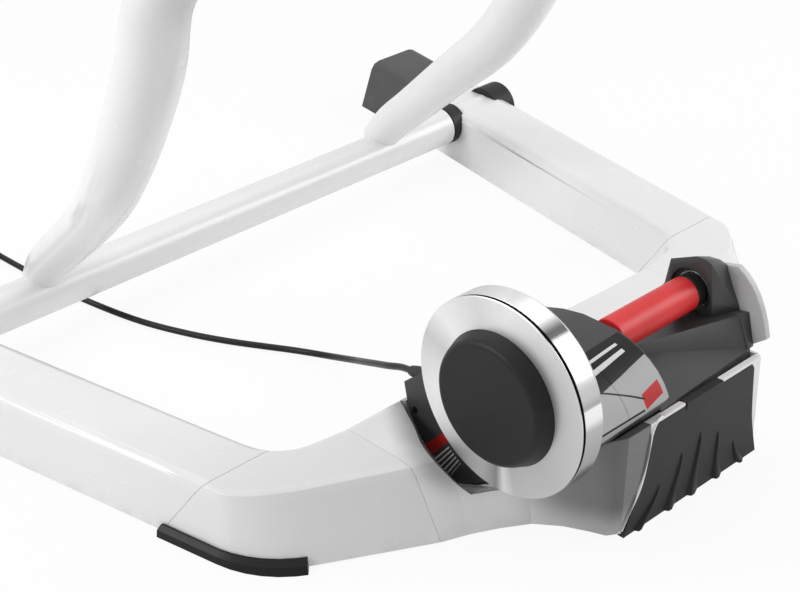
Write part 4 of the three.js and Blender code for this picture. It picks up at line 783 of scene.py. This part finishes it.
def scoopCutter():
    wall = [(p.x, p.y) for p in smoothRun([(x, r, 0) for x, r in scoop["profile"]], 4)]
    bowl = spun("scoop", [(wall[0][0], 0), *wall, (wall[-1][0], 0)], 128, scoop["centre"])
    slope = Vector(scoop["slope"]).normalized()
    size = scoop["sillCube"]
    centre = Vector(scoop["sill"]) - slope * (size / 2)
    cut(bowl, cube(size, centre, slope.to_track_quat("Z", "Y").to_euler()))
    return bowl


wing = lofted("wing", scoop["wing"])
cut(wing, cube(scoop["faceCube"], (scoop["face"] + scoop["faceCube"] / 2, *scoop["faceSpot"])))
cut(wing, scoopCutter())
cut(wing, roundBar("wheelPocket", *scoop["pocket"], rollerLine))
cut(saddle, scoopCutter())
soften(wing, 0)
unite(saddle, panelBead(), wing)
mount(saddle, "saddle_shell", whitePlastic)
print("saddle and panel made")

# what turns on the roller line, as profiles of (x, radius) in millimetres
bore = 6.3
wheelProfile = [(-132, bore), (-132, 80.2), (-132.8, 81), (-151.0, 81), (-151.3, 80.7), (-151.3, 77),
                (-153.8, 77), (-153.8, 80.6), (-154.1, 80.9), (-154.6, 80.7), (-155, 80.2), (-155, 54.6),
                (-147, 54.5), (-147, bore), (-132, bore)]
flywheel = spun("flywheel", wheelProfile, 160, rollerLine)
soften(flywheel, 0.0002)
mount(flywheel, "flywheel", flywheelSteel)
capProfile = [(-147.3, 0), (-147.3, 54.2), (-155.2, 54.4), (-156, 54.1), (-163.5, 51.6), (-166.4, 50.2),
              (-167.8, 48.7), (-168.3, 47.5), (-168.5, 46), (-168.2, 44), (-168.0, 30), (-167.9, 0)]
flywheelCap = spun("flywheelCap", capProfile, 160, rollerLine)
soften(flywheelCap, 0.0006, 3)
mount(flywheelCap, "flywheel_cap", capPlastic)
ringProfile = [(-131.7, 48), (-131.7, 78), (-128.7, 78), (-128.7, 48), (-131.7, 48)]
brakeRing = spun("brakeRing", ringProfile, 128, rollerLine)
soften(brakeRing, 0.0003)
mount(brakeRing, "brake_ring", castAlloy)


def boxOf(node):
    # a node's left, right and radius in millimetres
    low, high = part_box(node)
    return [round(1000 * v, 3) for v in (low.x, high.x, (high.z - low.z) / 2)]


# the sleeve's edge as (along, down), and the collar as (along, radius)
sleeveEdge = [(0, 1.2), (0.4, 0.4), (1.2, 0)]
collarRows = [(0, bore), (0, 14.2), (0.5, 14.7), (8.6, 14.7), (9.6, 13.9), (9.6, bore), (0, bore)]
shaftEdge = 0.6
left, right, radius = boxOf("roller_sleeve")
sleeveProfile = [(left, bore), *((left + along, radius - down) for along, down in sleeveEdge),
                 *((right - along, radius - down) for along, down in reversed(sleeveEdge)),
                 (right, bore), (left, bore)]
rollerSleeve = spun("rollerSleeve", sleeveProfile, 96, rollerLine)
soften(rollerSleeve, 0)
mount(rollerSleeve, "roller_sleeve", sleeveRed)
left = boxOf("roller_collar")[0]
rollerCollar = spun("rollerCollar", [(left + along, reach) for along, reach in collarRows], 96, rollerLine)
soften(rollerCollar, 0.0002)
mount(rollerCollar, "roller_collar", blackPlastic)
left, right, radius = boxOf("roller_shaft")
shaftProfile = [(left, 0), (left, radius), (right - shaftEdge, radius), (right, radius - shaftEdge),
                (right, 0)]
rollerShaft = spun("rollerShaft", shaftProfile, 64, rollerLine)
soften(rollerShaft, 0.0002)
mount(rollerShaft, "roller_shaft", platedSteel)
print("roller and flywheel made")

# fork: a cross tube with a stub at each end, in millimetres, and two bent arms
tubeLook = {"radius": 20.2, "reach": 302, "edge": 0.8, "stub": 13.5, "stubReach": 380.58, "stubEdge": 0.5,
            "bore": 11}


def tubeProfile():
    end, radius, edge = (tubeLook[key] for key in ("reach", "radius", "edge"))
    tip, stub, stubEdge = (tubeLook[key] for key in ("stubReach", "stub", "stubEdge"))
    half = [(tip, tubeLook["bore"]), (tip, stub - stubEdge), (tip - stubEdge, stub), (end, stub),
            (end, radius - edge), (end - edge, radius)]
    return [(-x, r) for x, r in half] + [(x, r) for x, r in reversed(half)] + [(-tip, tubeLook["bore"])]


crossTube = spun("crossTube", tubeProfile(), 96, pivotLine)
soften(crossTube, 0)
mount(crossTube, "cross_tube", whitePaint)

# rows of x in millimetres, shares of the way from the pivot to the axle, back and up, and radius in
# millimetres
armRoute = [
    (213, -0.022, 0.036, 17.6), (214, 0.004, 0.063, 18.3), (215.5, 0.05, 0.105, 19),
    (216, 0.134, 0.163, 19.8), (217, 0.328, 0.302, 21.5), (230, 0.508, 0.441, 24.6), (234, 0.651, 0.61, 26.5),
    (231, 0.75, 0.791, 27.5), (221, 0.776, 0.946, 26), (192, 0.79, 1.019, 23.5), (154, 0.83, 1.016, 20.5),
    (118, 0.949, 1.002, 17.5),
]
armLook = {"steps": 10, "sides": 64, "barrel": (0.080, 0.170, 0.0209), "tubeHalf": 0.35, "sunk": 0.0001}


def bentArm(side, name):
    # the arm's ends are cut to fit over the cross tube and the clamp barrel
    spots = [(side * x / 1000, pivotY + back * (axleY - pivotY), pivotZ + up * (axleZ - pivotZ))
             for x, back, up, radius in armRoute]
    radii = [p.x for p in smoothRun([(radius / 1000, 0, 0) for *rest, radius in armRoute], armLook["steps"])]
    made = tube(name, smoothRun(spots, armLook["steps"]), radii, armLook["sides"])
    half, tubeRadius = armLook["tubeHalf"], tubeLook["radius"] / 1000 - armLook["sunk"]
    cut(made, roundBar("tubeCutter", -half, half, tubeRadius, pivotLine))
    inner, outer, barrelRadius = armLook["barrel"]
    near, far = sorted((side * inner, side * outer))
    cut(made, roundBar("barrelCutter", near, far, barrelRadius, axleLine))
    soften(made, 0)
    return made


for side, node, name in ((1, "right_arm", "rightArm"), (-1, "left_arm", "leftArm")):
    mount(bentArm(side, name), node, whitePaint)
print("fork made")

# floor, backdrop and light
floorLook = {"dark": grey(0.86), "light": grey(0.89), "seen": 0.91, "lit": 0.30,
             "mirrored": 0.2, "size": 14, "height": -0.0002}
bpy.ops.object.select_all(action="DESELECT")
bpy.ops.mesh.primitive_plane_add(size=floorLook["size"], location=(0, 0, floorLook["height"]))
floor = bpy.context.object
floor.name = "floor"
floorFinish = Finish("floorFinish", Roughness=0.9)
cloud = floorFinish.noise(2.0, 3.0)
floorFinish.put("Base Color", floorFinish.blend(cloud, floorLook["dark"], floorLook["light"]))
rays = floorFinish.tree.nodes.new("ShaderNodeLightPath")
seen, glossy = (Signal(floorFinish, rays.outputs[n]) for n in ("Is Camera Ray", "Is Glossy Ray"))
glow = floorFinish.add("ShaderNodeEmission", {}, {"Color": grey(1.0), "Strength": 1.0})
share = seen * (floorLook["seen"] - floorLook["lit"]) + glossy * floorLook["mirrored"] + floorLook["lit"]
lit = Signal(floorFinish, floorFinish.shader.outputs[0])
mixed = floorFinish.add("ShaderNodeMixShader", {}, {0: share, 1: lit, 2: glow})
floorFinish.tree.links.new(mixed.socket, floorFinish.tree.nodes["Material Output"].inputs["Surface"])
paintWith(floor, floorFinish)

world = bpy.data.worlds.new("studio")
scene.world = world
world.use_nodes = True
sky = world.node_tree
background = sky.nodes["Background"]
background.inputs["Color"].default_value = grey(1.0)
rays = sky.nodes.new("ShaderNodeLightPath")


def skyMaths(operation, first, second):
    made = sky.nodes.new("ShaderNodeMath")
    made.operation = operation
    for socket, value in zip(made.inputs, (first, second)):
        if isinstance(value, float):
            socket.default_value = value
        else:
            sky.links.new(value, socket)
    return made.outputs[0]


# white behind the object, brighter in mirrors than as light
skyLook = {"lit": 0.44, "mirrored": 0.35}
seenSky = skyMaths("MAXIMUM", rays.outputs["Is Camera Ray"], rays.outputs["Is Transmission Ray"])
mirrored = skyMaths("MULTIPLY", rays.outputs["Is Glossy Ray"], skyLook["mirrored"])
strength = skyMaths("MINIMUM", skyMaths("ADD", skyMaths("ADD", seenSky, mirrored), skyLook["lit"]), 1.0)
sky.links.new(strength, background.inputs["Strength"])

lamps = [
    {"name": "keyLamp", "spot": (-1.65, 0.85, 1.42), "aim": (-0.3, 0, 0.05), "size": (1.7, 0.8), "power": 24},
    {"name": "topLamp", "spot": (0.3, 0.4, 2.2), "aim": (0, 0, 0.05), "size": (2.6, 2.2), "power": 14},
    {"name": "rightLamp", "spot": (1.6, -1.3, 1.2), "aim": (0, 0, 0.15), "size": (1.4, 1.0), "power": 19},
]
for lamp in lamps:
    light = bpy.data.lights.new(lamp["name"], "AREA")
    light.shape, light.energy = "RECTANGLE", lamp["power"]
    light.size, light.size_y = lamp["size"]
    holder = bpy.data.objects.new(lamp["name"], light)
    scene.collection.objects.link(holder)
    holder.location = lamp["spot"]
    holder.rotation_euler = (Vector(lamp["aim"]) - Vector(lamp["spot"])).to_track_quat("-Z", "Y").to_euler()
print("studio set")
